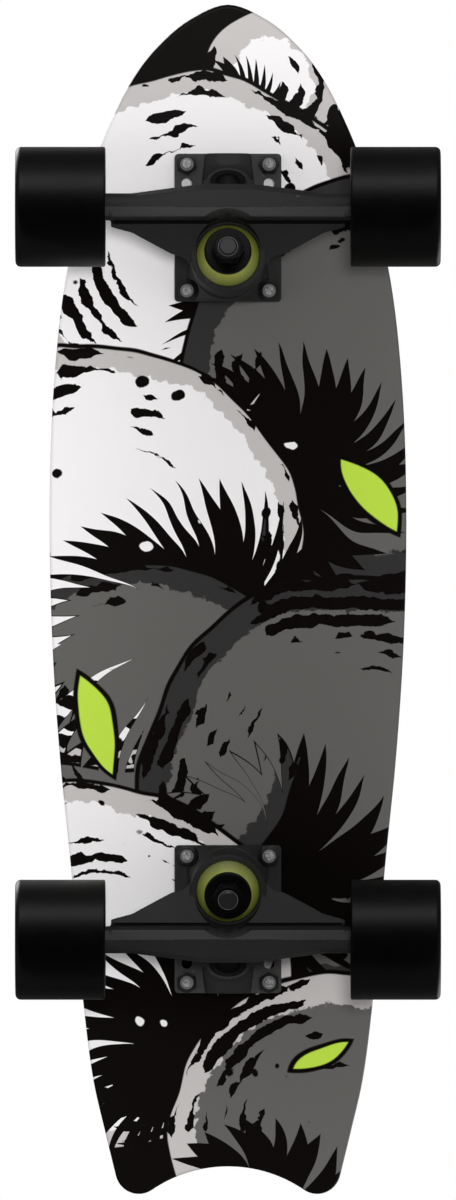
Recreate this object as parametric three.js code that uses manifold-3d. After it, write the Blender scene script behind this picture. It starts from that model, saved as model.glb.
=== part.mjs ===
// Cruiser skateboard, modelled at its real size in millimetres.
// +Z is up and the board stands on its wheels at z = 0. Its nose points along -Y.
// Left and right are the rider's, looking towards the nose, so left is +X.
import * as THREE from 'three';
import { mergeVertices } from 'three/addons/utils/BufferGeometryUtils.js';
import Module from 'manifold-3d';

const wasm = await Module();
wasm.setup();

// Deck and grip tape
const deck_length = 600;
const deck_width = 180;
const deck_thickness = 10;
const concave_depth = 4;
const concave_flat_width = 60;
const nose_kick_deg = 10;
const tail_kick_deg = 18;
const kick_bend_radius = 80;
const kick_beyond_plate = 2.5;
const notch_depth = 14;
const tail_tip_spacing = 90;
const tail_tip_radius = 12;
const grip_thickness = 0.8;
const grip_inset = 0.8;

// Places of the trucks along the deck, at the middle of each bolt pattern
const nose_to_front_truck = 113;
const tail_to_rear_truck = 139.7;

// Bolts and nuts that hold the trucks
const bolt_spacing_across = 41.3;
const bolt_spacing_along = 63.5;
const second_hole_step = 9.5;
const bolt_diameter = 4.8;
const bolt_length = 28.6;
const bolt_head_diameter = 9.6;
const bolt_head_height = 2.8;
const bolt_head_edge = 0.4;
const bolt_socket_across_flats = 3.2;
const bolt_socket_depth = 2;
const deck_nut_across_flats = 9.5;
const deck_nut_height = 5.6;

// Riser pad and baseplate
const riser_thickness = 3;
const plate_width = 53.6;
const plate_length = 74.3;
const plate_thickness = 5;
const plate_corner_radius = 2;
const nut_spotface_diameter = 13;
const kingpin_boss_seat_diameter = 34;
const kingpin_boss_root_diameter = 43;
const kingpin_grip_length = 11;
const pivot_boss_width = 27;
const pivot_boss_wall = 4;
const pivot_boss_toe = 5;

// Where the axle, the bushing ring and the pivot stand in a truck
const truck_height = 53;
const axle_outset = 9.5;
const ring_inset = 16;
const ring_drop = 41;
const pivot_outset = 23;
const kingpin_lean_deg = 13;
const steering_axis_deg = 37;

// Kingpin, its nut, the bushings and their cup washers
const kingpin_diameter = 9.5;
const kingpin_head_across_flats = 14.3;
const kingpin_head_height = 6;
const kingpin_beyond_nut = 1.4;
const kingpin_nut_across_flats = 14.3;
const kingpin_nut_height = 8;
const nut_collar_share = 0.25;
const bushing_diameter = 31.6;
const board_bushing_height = 14;
const road_bushing_height = 12;
const road_bushing_tip_diameter = 20.6;
const board_bushing_tip_diameter = 25.8;
const cup_washer_thickness = 1.2;
const cup_washer_rim = 1.8;

// Hanger: the bushing ring and the pocket below it
const hanger_width = 139.7;
const ring_wall = 2.6;
const ring_height = 12;
const ring_web_thickness = 5;
const kingpin_clearance_diameter = 12.5;
const pocket_diameter = 34.4;
const pocket_mouth_diameter = 41;
const pocket_straight_depth = 14;
const pocket_chamfer_depth = 3.5;

// Hanger: the axle housing, its reach outwards, its ridge, and its depth below and above the axle
const housing_shoulder_width = 117;
const housing_knee_width = 54;
const housing_middle_width = 26;
const housing_reach_end = 5.5;
const housing_reach_knee = 9.7;
const housing_reach_middle = 11.5;
const housing_ridge = 5.3;
const housing_drop_end = 6.6;
const housing_drop_middle = 9;
const housing_rise_end = 5.5;
const housing_rise_middle = 9;
const axle_boss_diameter = 13.6;

// Hanger: the web between housing and ring, the neck to the pivot, and the bridge that joins them
const web_thickness = 6;
const web_end_reach = 10;
const web_knee_width = 107;
const web_root_width = 57;
const web_root_reach = 24.6;
const web_inner_width = 30;
const web_inner_reach = 34;
const neck_diameter = 16;
const neck_start = 14;
const neck_taper_length = 18;
const pivot_nose_diameter = 11.6;
const pivot_nose_length = 14;
const bridge_width = 22;

// Pivot cup
const pivot_cup_diameter = 16.6;
const pivot_cup_depth = 9;
const pivot_cup_floor = 2;
const pivot_cup_end_diameter = 8;
const pivot_cup_shoulder_share = 1 / 3;

// Axle, bearings, wheels and their hardware
const axle_diameter = 8;
const axle_chamfer = 0.8;
const axle_beyond_nut = 1;
const speed_washer_thickness = 1;
const bearing_diameter = 22;
const bearing_width = 7;
const spacer_length = 10;
const spacer_diameter = 10.6;
const axle_nut_across_flats = 13;
const axle_nut_height = 7;
const wheel_diameter = 60;
const wheel_width = 45;
const wheel_lip = 2;
const wheel_dish = 2;
const wheel_recess_diameter = 26;
const wheel_recess_mouth_diameter = 34;
const wheel_recess_chamfer = 4;
const wheel_core_hole_diameter = 17;

// Clearance between pieces that touch, and how far a cut runs past what it cuts
const fit_gap = 0.3;
const cut_overrun = 6;

// How many flat sides or steps stand for a round
const wheel_sides = 24;
const ring_sides = 20;
const small_sides = 16;
const bolt_sides = 10;
const hex_sides = 6;
const bend_steps = 3;
const concave_steps = 3;
const steps_between_shares = 2;
const tip_steps = 4;
const notch_steps = 4;
const corner_steps = 2;
const round_end_steps = 3;

// The deck's side from nose to tail: share of the length, share of the half-width
const side_shares = [
  [0.0128, 0.216],
  [0.033, 0.378],
  [0.0565, 0.507],
  [0.097, 0.652],
  [0.15, 0.783],
  [0.231, 0.91],
  [0.315, 0.974],
  [0.4167, 1],
  [0.5333, 0.986],
  [0.634, 0.941],
  [0.718, 0.884],
  [0.836, 0.812],
  [0.903, 0.756],
  [0.947, 0.69],
];
const tail_tip_start_deg = 11;

// The axle housing's section: shares of its reach or ridge, and of its rise or drop
const housing_section_shares = [
  [-1, -0.7],
  [-0.7, -1],
  [0.05, -1],
  [0.75, -0.6],
  [1, 0],
  [0.8, 0.7],
  [0.1, 1],
  [-1, 0.7],
];

// Heights and places that follow from the sizes
const quarter_turn = Math.PI / 2;
const kingpin_lean = THREE.MathUtils.degToRad(kingpin_lean_deg);
const steering_angle = THREE.MathUtils.degToRad(steering_axis_deg);
const axle_z = wheel_diameter / 2;
const plate_face_z = axle_z + truck_height;
const deck_under_z = plate_face_z + riser_thickness;
const grip_low = deck_thickness + fit_gap;
const grip_top = grip_low + grip_thickness;
const front_truck_y = nose_to_front_truck - deck_length / 2;
const rear_truck_y = deck_length / 2 - tail_to_rear_truck;
const nose_bend_y = front_truck_y - plate_length / 2 - kick_beyond_plate;
const tail_bend_y = rear_truck_y + plate_length / 2 + kick_beyond_plate;

// Heights along the kingpin, from the middle of the hanger's ring and positive towards the deck
const board_bushing_low = ring_web_thickness / 2 + fit_gap;
const board_bushing_top = board_bushing_low + board_bushing_height;
const board_cup_low = board_bushing_top + fit_gap;
const board_cup_top = board_cup_low + cup_washer_thickness;
const kingpin_seat = board_cup_top + fit_gap;
const kingpin_head_low = kingpin_seat + kingpin_grip_length;
const road_bushing_top = -board_bushing_low;
const road_bushing_tip = road_bushing_top - road_bushing_height;
const road_cup_top = road_bushing_tip - fit_gap;
const road_cup_low = road_cup_top - cup_washer_thickness;
const kingpin_nut_top = road_cup_low - fit_gap;
const kingpin_nut_low = kingpin_nut_top - kingpin_nut_height;

// Lengths along the steering axis, from the middle of the hanger's ring
const pivot_mouth = (pivot_outset + ring_inset) / Math.cos(steering_angle);
const pivot_cup_end = pivot_mouth + pivot_cup_depth;
const pivot_nose_end = pivot_cup_end - pivot_cup_floor - fit_gap;

// Places along the axle, from the middle of the truck and from the middle of a wheel
const washer_space = speed_washer_thickness + 2 * fit_gap;
const bearing_inner = spacer_length / 2 + fit_gap;
const bearing_outer = bearing_inner + bearing_width;
const wheel_x = hanger_width / 2 + washer_space + bearing_outer;
const axle_nut_x = wheel_x + bearing_outer + washer_space;
const axle_end_x = axle_nut_x + axle_nut_height + axle_beyond_nut;

// A closed geometry as a solid that can be joined and cut.
function solid(geometry) {
  const bare = geometry.clone();
  bare.deleteAttribute('normal');
  bare.deleteAttribute('uv');
  const merged = mergeVertices(bare);
  const corners = merged.index.array;
  const triVerts = [];
  for (let i = 0; i < corners.length; i += 3) {
    const [a, b, c] = corners.slice(i, i + 3);
    if (a !== b && b !== c && c !== a) triVerts.push(a, b, c);
  }
  return new wasm.Manifold(new wasm.Mesh({
    numProp: 3,
    vertProperties: new Float32Array(merged.attributes.position.array),
    triVerts: new Uint32Array(triVerts),
  }));
}

function geometry_of(shape) {
  const mesh = shape.getMesh();
  const geometry = new THREE.BufferGeometry();
  geometry.setAttribute('position', new THREE.BufferAttribute(mesh.vertProperties, 3));
  geometry.setIndex(new THREE.BufferAttribute(mesh.triVerts, 1));
  geometry.computeVertexNormals();
  return geometry;
}

// A body turned round the Z axis from [radius, height] points, listed from the bottom outwards and up.
// A profile that starts off the axis closes on itself, so it has a bore.
function turned(profile, sides) {
  const points = profile.map(([radius, height]) => new THREE.Vector2(radius, height));
  if (points[0].x > 0) points.push(points[0].clone());
  return new THREE.LatheGeometry(points, sides).rotateX(quarter_turn);
}

function rod(diameter, low, high, sides) {
  const radius = diameter / 2;
  return turned([[0, low], [radius, low], [radius, high], [0, high]], sides);
}

function hex_bar(across_flats, low, high) {
  const corner_diameter = across_flats / Math.cos(Math.PI / hex_sides);
  return rod(corner_diameter, low, high, hex_sides);
}

function along_x(geometry) {
  return geometry.rotateY(quarter_turn);
}

// A plate of the outline's shape between two heights.
function plate(outline, low, high) {
  const settings = { depth: high - low, bevelEnabled: false };
  return new THREE.ExtrudeGeometry(new THREE.Shape(outline), settings).translate(0, 0, low);
}

// A body of constant section across the truck, from [y, z] points.
function across_truck(profile, width) {
  const outline = profile.map(([y, z]) => new THREE.Vector2(y, z));
  return plate(outline, -width / 2, width / 2).rotateX(quarter_turn).rotateZ(quarter_turn);
}

function rounded_rectangle(width, length, radius) {
  const outline = [];
  for (let corner = 0; corner < 4; corner += 1) {
    const across = corner === 0 || corner === 3 ? 1 : -1;
    const along = corner < 2 ? 1 : -1;
    for (let step = 0; step <= corner_steps; step += 1) {
      const angle = (corner + step / corner_steps) * quarter_turn;
      outline.push(new THREE.Vector2(
        across * (width / 2 - radius) + radius * Math.cos(angle),
        along * (length / 2 - radius) + radius * Math.sin(angle),
      ));
    }
  }
  return outline;
}

// A closed body through rings of points, each ring facing the next one.
function lofted(rings) {
  const count = rings[0].length;
  const positions = rings.flat().flatMap((point) => point.toArray());
  const index = [];
  for (let ring = 0; ring < rings.length - 1; ring += 1) {
    for (let i = 0; i < count; i += 1) {
      const next = (i + 1) % count;
      const [a, b] = [ring * count + i, ring * count + next];
      index.push(a, b, b + count, a, b + count, a + count);
    }
  }
  const last = (rings.length - 1) * count;
  for (let i = 1; i < count - 1; i += 1) {
    index.push(0, i + 1, i);
    index.push(last, last + i, last + i + 1);
  }
  const geometry = new THREE.BufferGeometry();
  geometry.setAttribute('position', new THREE.Float32BufferAttribute(positions, 3));
  return geometry.setIndex(index);
}

// From the kingpin's or the steering axis's own frame, where Z is the axis, to the truck's frame.
function on_kingpin(geometry) {
  return geometry.rotateX(kingpin_lean).translate(0, -ring_inset, -ring_drop);
}

function on_steering_axis(geometry) {
  return geometry.rotateX(steering_angle - quarter_turn).translate(0, -ring_inset, -ring_drop);
}

function steering_point(along, towards_deck) {
  return [
    along * Math.cos(steering_angle) - towards_deck * Math.sin(steering_angle) - ring_inset,
    along * Math.sin(steering_angle) + towards_deck * Math.cos(steering_angle) - ring_drop,
  ];
}

// How far a kick has risen, and its slope, at a distance past the start of its bend.
function kick(past, kick_deg) {
  const angle = THREE.MathUtils.degToRad(kick_deg);
  const bend_length = kick_bend_radius * Math.sin(angle);
  if (past <= 0) return { rise: 0, slope: 0 };
  if (past < bend_length) {
    const level = Math.sqrt(kick_bend_radius ** 2 - past ** 2);
    return { rise: kick_bend_radius - level, slope: past / level };
  }
  const bend_rise = kick_bend_radius * (1 - Math.cos(angle));
  return { rise: bend_rise + (past - bend_length) * Math.tan(angle), slope: Math.tan(angle) };
}

// A point at a height over the deck's underside, square to it.
function board_point(x, y, height) {
  const beyond_flat = Math.max(Math.abs(x) - concave_flat_width / 2, 0);
  const curved_width = (deck_width - concave_flat_width) / 2;
  const concave_rise = concave_depth * (beyond_flat / curved_width) ** 2;
  const concave_slope = Math.sign(x) * 2 * concave_depth * beyond_flat / curved_width ** 2;
  const nose = kick(nose_bend_y - y, nose_kick_deg);
  const tail = kick(y - tail_bend_y, tail_kick_deg);
  const normal = new THREE.Vector3(-concave_slope, nose.slope - tail.slope, 1).normalize();
  const under = new THREE.Vector3(x, y, deck_under_z + concave_rise + nose.rise + tail.rise);
  return under.addScaledVector(normal, height);
}

function steps_from(start, end, count) {
  return Array.from({ length: count + 1 }, (_, i) => start + (end - start) * i / count);
}

// The pressed blank between two heights over the underside, larger than the deck's outline.
function board_blank(low, high) {
  const flat = concave_flat_width / 2;
  const side = deck_width / 2 + cut_overrun;
  const end = deck_length / 2 + cut_overrun;
  const nose_bend = kick_bend_radius * Math.sin(THREE.MathUtils.degToRad(nose_kick_deg));
  const tail_bend = kick_bend_radius * Math.sin(THREE.MathUtils.degToRad(tail_kick_deg));
  const xs = [...steps_from(-side, -flat, concave_steps), ...steps_from(flat, side, concave_steps)];
  const ys = [
    -end,
    ...steps_from(nose_bend_y - nose_bend, nose_bend_y, bend_steps),
    ...steps_from(tail_bend_y, tail_bend_y + tail_bend, bend_steps),
    end,
  ];
  const rings = ys.map((y) => [
    ...xs.map((x) => board_point(x, y, high)),
    ...xs.toReversed().map((x) => board_point(x, y, low)),
  ]);
  return lofted(rings);
}

// The outline's right half from the nose to the middle of the tail's notch.
function half_outline() {
  const half_length = deck_length / 2;
  const tip = new THREE.Vector2(tail_tip_spacing / 2, half_length - tail_tip_radius);
  const tip_start = THREE.MathUtils.degToRad(tail_tip_start_deg);
  const side = side_shares.map(([along, across]) => (
    new THREE.Vector3(across * deck_width / 2, along * deck_length - half_length, 0)
  ));
  side.push(new THREE.Vector3(
    tip.x + tail_tip_radius * Math.cos(tip_start),
    tip.y + tail_tip_radius * Math.sin(tip_start),
    0,
  ));
  const mirrored = side.map((point) => new THREE.Vector3(-point.x, point.y, 0)).reverse();
  const nose = new THREE.Vector3(0, -half_length, 0);
  const curve = new THREE.CatmullRomCurve3([...mirrored, nose, ...side], false, 'centripetal');
  const steps = side.length * steps_between_shares;
  const outline = curve.getPoints(2 * steps).slice(steps).map(({ x, y }) => new THREE.Vector2(x, y));

  // The notch is one arc that meets the round tips smoothly.
  const reach = tip.x ** 2 / (2 * notch_depth) + notch_depth / 2;
  const notch_radius = reach - tail_tip_radius;
  const notch_y = half_length - notch_depth + notch_radius;
  const tip_end = Math.atan2(notch_y - tip.y, -tip.x);
  for (let step = 1; step <= tip_steps; step += 1) {
    const angle = tip_start + (tip_end - tip_start) * step / tip_steps;
    outline.push(new THREE.Vector2(
      tip.x + tail_tip_radius * Math.cos(angle),
      tip.y + tail_tip_radius * Math.sin(angle),
    ));
  }
  const notch_start = tip_end - Math.PI;
  for (let step = 1; step <= notch_steps; step += 1) {
    const angle = notch_start + (-quarter_turn - notch_start) * step / notch_steps;
    outline.push(new THREE.Vector2(
      notch_radius * Math.cos(angle),
      notch_y + notch_radius * Math.sin(angle),
    ));
  }
  return outline;
}

function board_outline(inset) {
  const right = half_outline();
  const left = right.slice(1, -1).map((point) => new THREE.Vector2(-point.x, point.y)).reverse();
  const inwards = new THREE.Vector2(1 - 2 * inset / deck_width, 1 - 2 * inset / deck_length);
  return [...right, ...left].map((point) => point.multiply(inwards));
}

// The bolt's profile below the top of its head, or a cut for it when it is grown by a gap.
function bolt_profile(grow, past_end) {
  const shank = bolt_diameter / 2 + grow;
  const head = bolt_head_diameter / 2 + grow;
  return [
    [0, -bolt_length - past_end],
    [shank, -bolt_length - past_end],
    [shank, -bolt_head_height],
    [head, -bolt_head_edge],
    [head, past_end],
    [0, past_end],
  ];
}

function bolt_places() {
  const places = [];
  for (const along of [1, -1]) {
    for (const across of [1, -1]) {
      places.push([across * bolt_spacing_across / 2, along * bolt_spacing_along / 2]);
    }
  }
  return places;
}

// One layer of the board, cut to the outline and drilled for the bolts of both trucks.
function board_layer(low, high, inset) {
  const above_kicks = deck_under_z + deck_width;
  let layer = solid(board_blank(low, high)).intersect(solid(plate(board_outline(inset), 0, above_kicks)));
  for (const truck_y of [front_truck_y, rear_truck_y]) {
    for (const [x, y] of bolt_places()) {
      const cut = turned(bolt_profile(fit_gap, cut_overrun), bolt_sides);
      layer = layer.subtract(solid(cut.translate(x, truck_y + y, deck_under_z + grip_top)));
    }
  }
  return geometry_of(layer);
}

function deck_bolt() {
  const socket = hex_bar(bolt_socket_across_flats, -bolt_socket_depth, cut_overrun);
  return geometry_of(solid(turned(bolt_profile(0, 0), bolt_sides)).subtract(solid(socket)));
}

// A lock nut: a hexagon that ends in a round collar on its low side.
function lock_nut(across_flats, height, bore_diameter) {
  const collar = height * nut_collar_share;
  const bore = rod(bore_diameter + 2 * fit_gap, -height - cut_overrun, cut_overrun, bolt_sides);
  const hexagon = solid(hex_bar(across_flats, collar - height, 0));
  const round = solid(rod(across_flats - 2 * fit_gap, -height, collar - height + fit_gap, bolt_sides));
  return geometry_of(hexagon.add(round).subtract(solid(bore)));
}

// The six holes of a baseplate and its riser: four for the bolts and two spare ones at the pivot.
function hole_places() {
  const spare_y = bolt_spacing_along / 2 - second_hole_step;
  return [...bolt_places(), [bolt_spacing_across / 2, spare_y], [-bolt_spacing_across / 2, spare_y]];
}

function drilled(shape, low, high) {
  let left = shape;
  for (const [x, y] of hole_places()) {
    left = left.subtract(solid(rod(bolt_diameter + 2 * fit_gap, low, high, bolt_sides).translate(x, y, 0)));
  }
  return left;
}

function riser_pad() {
  const outline = rounded_rectangle(plate_width, plate_length, plate_corner_radius);
  const pad = solid(plate(outline, 0, riser_thickness));
  return geometry_of(drilled(pad, -cut_overrun, riser_thickness + cut_overrun));
}

// The pivot cup's outside from its mouth to its round end, grown by a gap where it cuts its seat.
function pivot_cup_outside(grow, mouth) {
  const radius = pivot_cup_diameter / 2 + grow;
  const end_radius = pivot_cup_end_diameter / 2 + grow;
  const end = pivot_cup_end + grow;
  const shoulder = pivot_mouth + pivot_cup_depth * pivot_cup_shoulder_share;
  const profile = [[0, mouth], [radius, mouth]];
  for (let step = 0; step <= round_end_steps; step += 1) {
    const angle = quarter_turn * step / round_end_steps;
    profile.push([
      end_radius + (radius - end_radius) * Math.cos(angle),
      shoulder + (end - shoulder) * Math.sin(angle),
    ]);
  }
  return [...profile, [0, end]];
}

function pivot_nose_profile(grow, start) {
  const radius = pivot_nose_diameter / 2 + grow;
  const centre = pivot_nose_end + grow - radius;
  const profile = [[0, start], [radius, start]];
  for (let step = 0; step < round_end_steps; step += 1) {
    const angle = quarter_turn * step / round_end_steps;
    profile.push([radius * Math.cos(angle), centre + radius * Math.sin(angle)]);
  }
  return [...profile, [0, centre + radius]];
}

function pivot_cup() {
  const outside = solid(turned(pivot_cup_outside(0, pivot_mouth), small_sides));
  const inside = turned(pivot_nose_profile(fit_gap, pivot_mouth - cut_overrun), small_sides);
  return geometry_of(outside.subtract(solid(inside)));
}

function baseplate() {
  const outline = rounded_rectangle(plate_width, plate_length, plate_corner_radius);
  const block = solid(plate(outline, -ring_drop, 0));
  const seat_radius = kingpin_boss_seat_diameter / 2;
  const root_radius = kingpin_boss_root_diameter / 2;
  const kingpin_boss = solid(on_kingpin(turned([
    [0, kingpin_seat],
    [seat_radius, kingpin_seat],
    [root_radius, ring_drop],
    [root_radius, ring_drop + cut_overrun],
    [0, ring_drop + cut_overrun],
  ], ring_sides)));

  // The pivot boss is a barrel round the steering axis, filled up to the plate.
  const boss_reach = pivot_cup_diameter / 2 + pivot_boss_wall;
  const boss_end = plate_length / 2;
  const mouth_top = steering_point(pivot_mouth, boss_reach);
  const mouth_low = steering_point(pivot_mouth, -boss_reach);
  const mouth_middle = steering_point(pivot_mouth, 0);
  const side_view = [
    mouth_low,
    [boss_end, mouth_low[1] + pivot_boss_toe],
    [boss_end, 0],
    [mouth_top[0], 0],
    mouth_top,
  ];
  const barrel_end = pivot_mouth + plate_length / 2;
  const barrel = solid(on_steering_axis(rod(pivot_boss_width, pivot_mouth, barrel_end, ring_sides)));
  const filling = [mouth_middle, [boss_end, -plate_thickness], [boss_end, 0], [mouth_top[0], 0], mouth_top];
  const pivot_boss = solid(across_truck(side_view, pivot_boss_width))
    .intersect(barrel)
    .add(solid(across_truck(filling, pivot_boss_width)));

  let body = solid(plate(outline, -plate_thickness, 0)).add(kingpin_boss.intersect(block)).add(pivot_boss);
  for (const [x, y] of bolt_places()) {
    const spotface = rod(nut_spotface_diameter, -ring_drop, -plate_thickness, bolt_sides);
    body = body.subtract(solid(spotface.translate(x, y, 0)));
  }
  const kingpin_hole = rod(kingpin_diameter + 2 * fit_gap, 0, ring_drop + cut_overrun, small_sides);
  const head_pocket = hex_bar(
    kingpin_head_across_flats + 2 * fit_gap,
    kingpin_head_low - fit_gap,
    ring_drop + cut_overrun,
  );
  const cup_seat = turned(pivot_cup_outside(fit_gap, pivot_mouth - cut_overrun), small_sides);
  body = drilled(body, -ring_drop, cut_overrun)
    .subtract(solid(on_kingpin(kingpin_hole)))
    .subtract(solid(on_kingpin(head_pocket)))
    .subtract(solid(on_steering_axis(cup_seat)));
  return geometry_of(body);
}

function kingpin() {
  const end = kingpin_nut_low - kingpin_beyond_nut;
  const shank = solid(rod(kingpin_diameter, end, kingpin_head_low, small_sides));
  const head = solid(hex_bar(
    kingpin_head_across_flats,
    kingpin_head_low,
    kingpin_head_low + kingpin_head_height,
  ));
  return geometry_of(shank.add(head));
}

// A bushing from its seated end to its tip, which a cup washer holds. The board side one points up.
function bushing(seated_end, tip, tip_diameter) {
  const way = Math.sign(tip - seated_end);
  const bore = kingpin_diameter / 2 + fit_gap;
  const radius = bushing_diameter / 2;
  const profile = [
    [bore, seated_end],
    [radius, seated_end],
    [radius, way * ring_height / 2],
    [tip_diameter / 2, tip - way * (cup_washer_rim + fit_gap)],
    [tip_diameter / 2, tip],
    [bore, tip],
  ];
  return turned(way > 0 ? profile : profile.reverse(), small_sides);
}

// A cup washer: a disc from its outer face to its inner one, with a rim on the inner side round the tip.
function cup_washer(held_diameter, outer_face, inner_face) {
  const way = Math.sign(inner_face - outer_face);
  const bore = kingpin_diameter / 2 + fit_gap;
  const inside = held_diameter / 2 + fit_gap;
  const outside = inside + cup_washer_thickness;
  const rim = inner_face + way * cup_washer_rim;
  const profile = [
    [bore, outer_face],
    [outside, outer_face],
    [outside, rim],
    [inside, rim],
    [inside, inner_face],
    [bore, inner_face],
  ];
  return turned(way > 0 ? profile : profile.reverse(), small_sides);
}

// The housing's section at one place across the truck.
function housing_ring(x, reach, drop, rise) {
  return housing_section_shares.map(([outwards, upwards]) => new THREE.Vector3(
    x,
    axle_outset + outwards * (outwards > 0 ? reach : housing_ridge),
    -truck_height + upwards * (upwards > 0 ? rise : drop),
  ));
}

function axle_housing() {
  const stations = [
    [housing_shoulder_width / 2, housing_reach_end, housing_drop_end, housing_rise_end],
    [housing_knee_width / 2, housing_reach_knee, housing_drop_middle, housing_rise_middle],
    [housing_middle_width / 2, housing_reach_middle, housing_drop_middle, housing_rise_middle],
  ];
  const left = stations.map(([x, ...sizes]) => housing_ring(-x, ...sizes));
  const right = stations.toReversed().map(([x, ...sizes]) => housing_ring(x, ...sizes));
  return lofted([...left, ...right]);
}

// The web lies in the plane of the axle and the middle of the ring.
function hanger_web() {
  const corners = [
    [housing_shoulder_width / 2, 0],
    [housing_shoulder_width / 2, web_end_reach],
    [web_knee_width / 2, web_end_reach],
    [web_root_width / 2, web_root_reach],
    [web_inner_width / 2, web_inner_reach],
  ];
  const outline = [
    ...corners.map(([x, reach]) => new THREE.Vector2(x, reach)),
    ...corners.toReversed().map(([x, reach]) => new THREE.Vector2(-x, reach)),
  ];
  const slope = Math.atan2(truck_height - ring_drop, axle_outset + ring_inset);
  return plate(outline, -web_thickness / 2, web_thickness / 2)
    .rotateX(Math.PI - slope)
    .translate(0, axle_outset, -truck_height);
}

function hanger() {
  const seat_diameter = bushing_diameter + 2 * fit_gap;
  const ring_diameter = seat_diameter + 2 * ring_wall;
  const ring = on_kingpin(rod(ring_diameter, -ring_height / 2, ring_height / 2, ring_sides));
  const boss = along_x(rod(axle_boss_diameter, -hanger_width / 2, hanger_width / 2, small_sides));
  const neck_radius = neck_diameter / 2;
  const nose_start = pivot_nose_end - pivot_nose_length;
  const taper_start = nose_start - neck_taper_length;
  const neck = on_steering_axis(turned([
    [0, neck_start],
    [neck_radius, neck_start],
    [neck_radius, taper_start],
    ...pivot_nose_profile(0, nose_start).slice(1),
  ], small_sides));

  // The bridge fills the side view between the ring, the neck and the housing.
  const bridge = across_truck([
    steering_point(neck_start, 0),
    [axle_outset - housing_ridge, -truck_height],
    [axle_outset, -truck_height - housing_drop_middle / 2],
    [axle_outset + housing_reach_middle - fit_gap, -truck_height],
    [axle_outset + housing_reach_middle - fit_gap, -ring_drop],
    steering_point(taper_start, -neck_radius + fit_gap),
    steering_point(taper_start, 0),
  ], bridge_width);

  const pocket_top = -ring_height / 2;
  const chamfer_start = pocket_top - pocket_straight_depth;
  const chamfer_end = chamfer_start - pocket_chamfer_depth;
  const pocket = on_kingpin(turned([
    [0, -truck_height],
    [pocket_mouth_diameter / 2, -truck_height],
    [pocket_mouth_diameter / 2, chamfer_end],
    [pocket_diameter / 2, chamfer_start],
    [pocket_diameter / 2, pocket_top],
    [0, pocket_top],
  ], ring_sides));
  const half_web = ring_web_thickness / 2;
  const board_side_seat = on_kingpin(rod(seat_diameter, half_web, ring_drop, ring_sides));
  const road_side_seat = on_kingpin(rod(seat_diameter, -ring_height, -half_web, ring_sides));
  const kingpin_hole = on_kingpin(rod(kingpin_clearance_diameter, -ring_height, ring_height, small_sides));
  const axle_bore = along_x(rod(
    axle_diameter + 2 * fit_gap,
    -hanger_width / 2 - cut_overrun,
    hanger_width / 2 + cut_overrun,
    small_sides,
  ));

  return geometry_of(
    solid(axle_housing())
      .add(solid(boss.translate(0, axle_outset, -truck_height)))
      .add(solid(hanger_web()))
      .add(solid(ring))
      .add(solid(bridge))
      .add(solid(neck))
      .subtract(solid(pocket))
      .subtract(solid(board_side_seat))
      .subtract(solid(road_side_seat))
      .subtract(solid(kingpin_hole))
      .subtract(solid(axle_bore.translate(0, axle_outset, -truck_height))),
  );
}

function axle() {
  const radius = axle_diameter / 2;
  return along_x(turned([
    [0, -axle_end_x],
    [radius - axle_chamfer, -axle_end_x],
    [radius, axle_chamfer - axle_end_x],
    [radius, axle_end_x - axle_chamfer],
    [radius - axle_chamfer, axle_end_x],
    [0, axle_end_x],
  ], small_sides));
}

function tube(outer_diameter, inner_diameter, low, high, sides) {
  const [outside, inside] = [outer_diameter / 2, inner_diameter / 2];
  return turned([[inside, low], [outside, low], [outside, high], [inside, high]], sides);
}

function bearing() {
  const half = bearing_width / 2;
  return along_x(tube(bearing_diameter, axle_diameter + 2 * fit_gap, -half, half, small_sides));
}

function bearing_spacer() {
  const half = spacer_length / 2;
  return along_x(tube(spacer_diameter, axle_diameter + 2 * fit_gap, -half, half, bolt_sides));
}

// A wheel's profile from its core out over one face, at positive heights.
function wheel_half_profile() {
  const face = wheel_width / 2;
  const tread = wheel_diameter / 2;
  const seat = bearing_diameter / 2 + fit_gap;
  const mouth = face - wheel_dish;
  return [
    [tread, face - wheel_lip],
    [tread - wheel_lip, face],
    [wheel_recess_mouth_diameter / 2, mouth],
    [wheel_recess_diameter / 2, mouth - wheel_recess_chamfer],
    [wheel_recess_diameter / 2, bearing_outer + fit_gap],
    [seat, bearing_outer + fit_gap],
    [seat, bearing_inner - fit_gap],
    [wheel_core_hole_diameter / 2, bearing_inner - fit_gap],
  ];
}

function wheel() {
  const far_side = wheel_half_profile();
  const near_side = far_side.toReversed().map(([radius, height]) => [radius, -height]);
  return along_x(turned([...near_side, ...far_side], wheel_sides));
}

// Colours and finishes
const printed_maple = new THREE.MeshStandardMaterial({ color: 0x5c5b59, roughness: 0.35, metalness: 0 });
const grip = new THREE.MeshStandardMaterial({ color: 0x141414, roughness: 0.95, metalness: 0 });
const black_metal = new THREE.MeshStandardMaterial({ color: 0x2a2a2a, roughness: 0.45, metalness: 0.6 });
const black_hardware = new THREE.MeshStandardMaterial({ color: 0x141416, roughness: 0.4, metalness: 0.7 });
const steel = new THREE.MeshStandardMaterial({ color: 0x8a8a8c, roughness: 0.3, metalness: 1 });
const black_urethane = new THREE.MeshStandardMaterial({ color: 0x060606, roughness: 0.3, metalness: 0 });
const lime_urethane = new THREE.MeshStandardMaterial({ color: 0x9aa82f, roughness: 0.4, metalness: 0 });
const black_plastic = new THREE.MeshStandardMaterial({ color: 0x101010, roughness: 0.5, metalness: 0 });

function add_piece(parent, name, geometry, material) {
  const piece = new THREE.Mesh(geometry, material);
  piece.name = name;
  parent.add(piece);
  return piece;
}

const skateboard = new THREE.Group();
add_piece(skateboard, 'deck', board_layer(0, deck_thickness, 0), printed_maple);
add_piece(skateboard, 'grip_tape', board_layer(grip_low, grip_top, grip_inset), grip);

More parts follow.
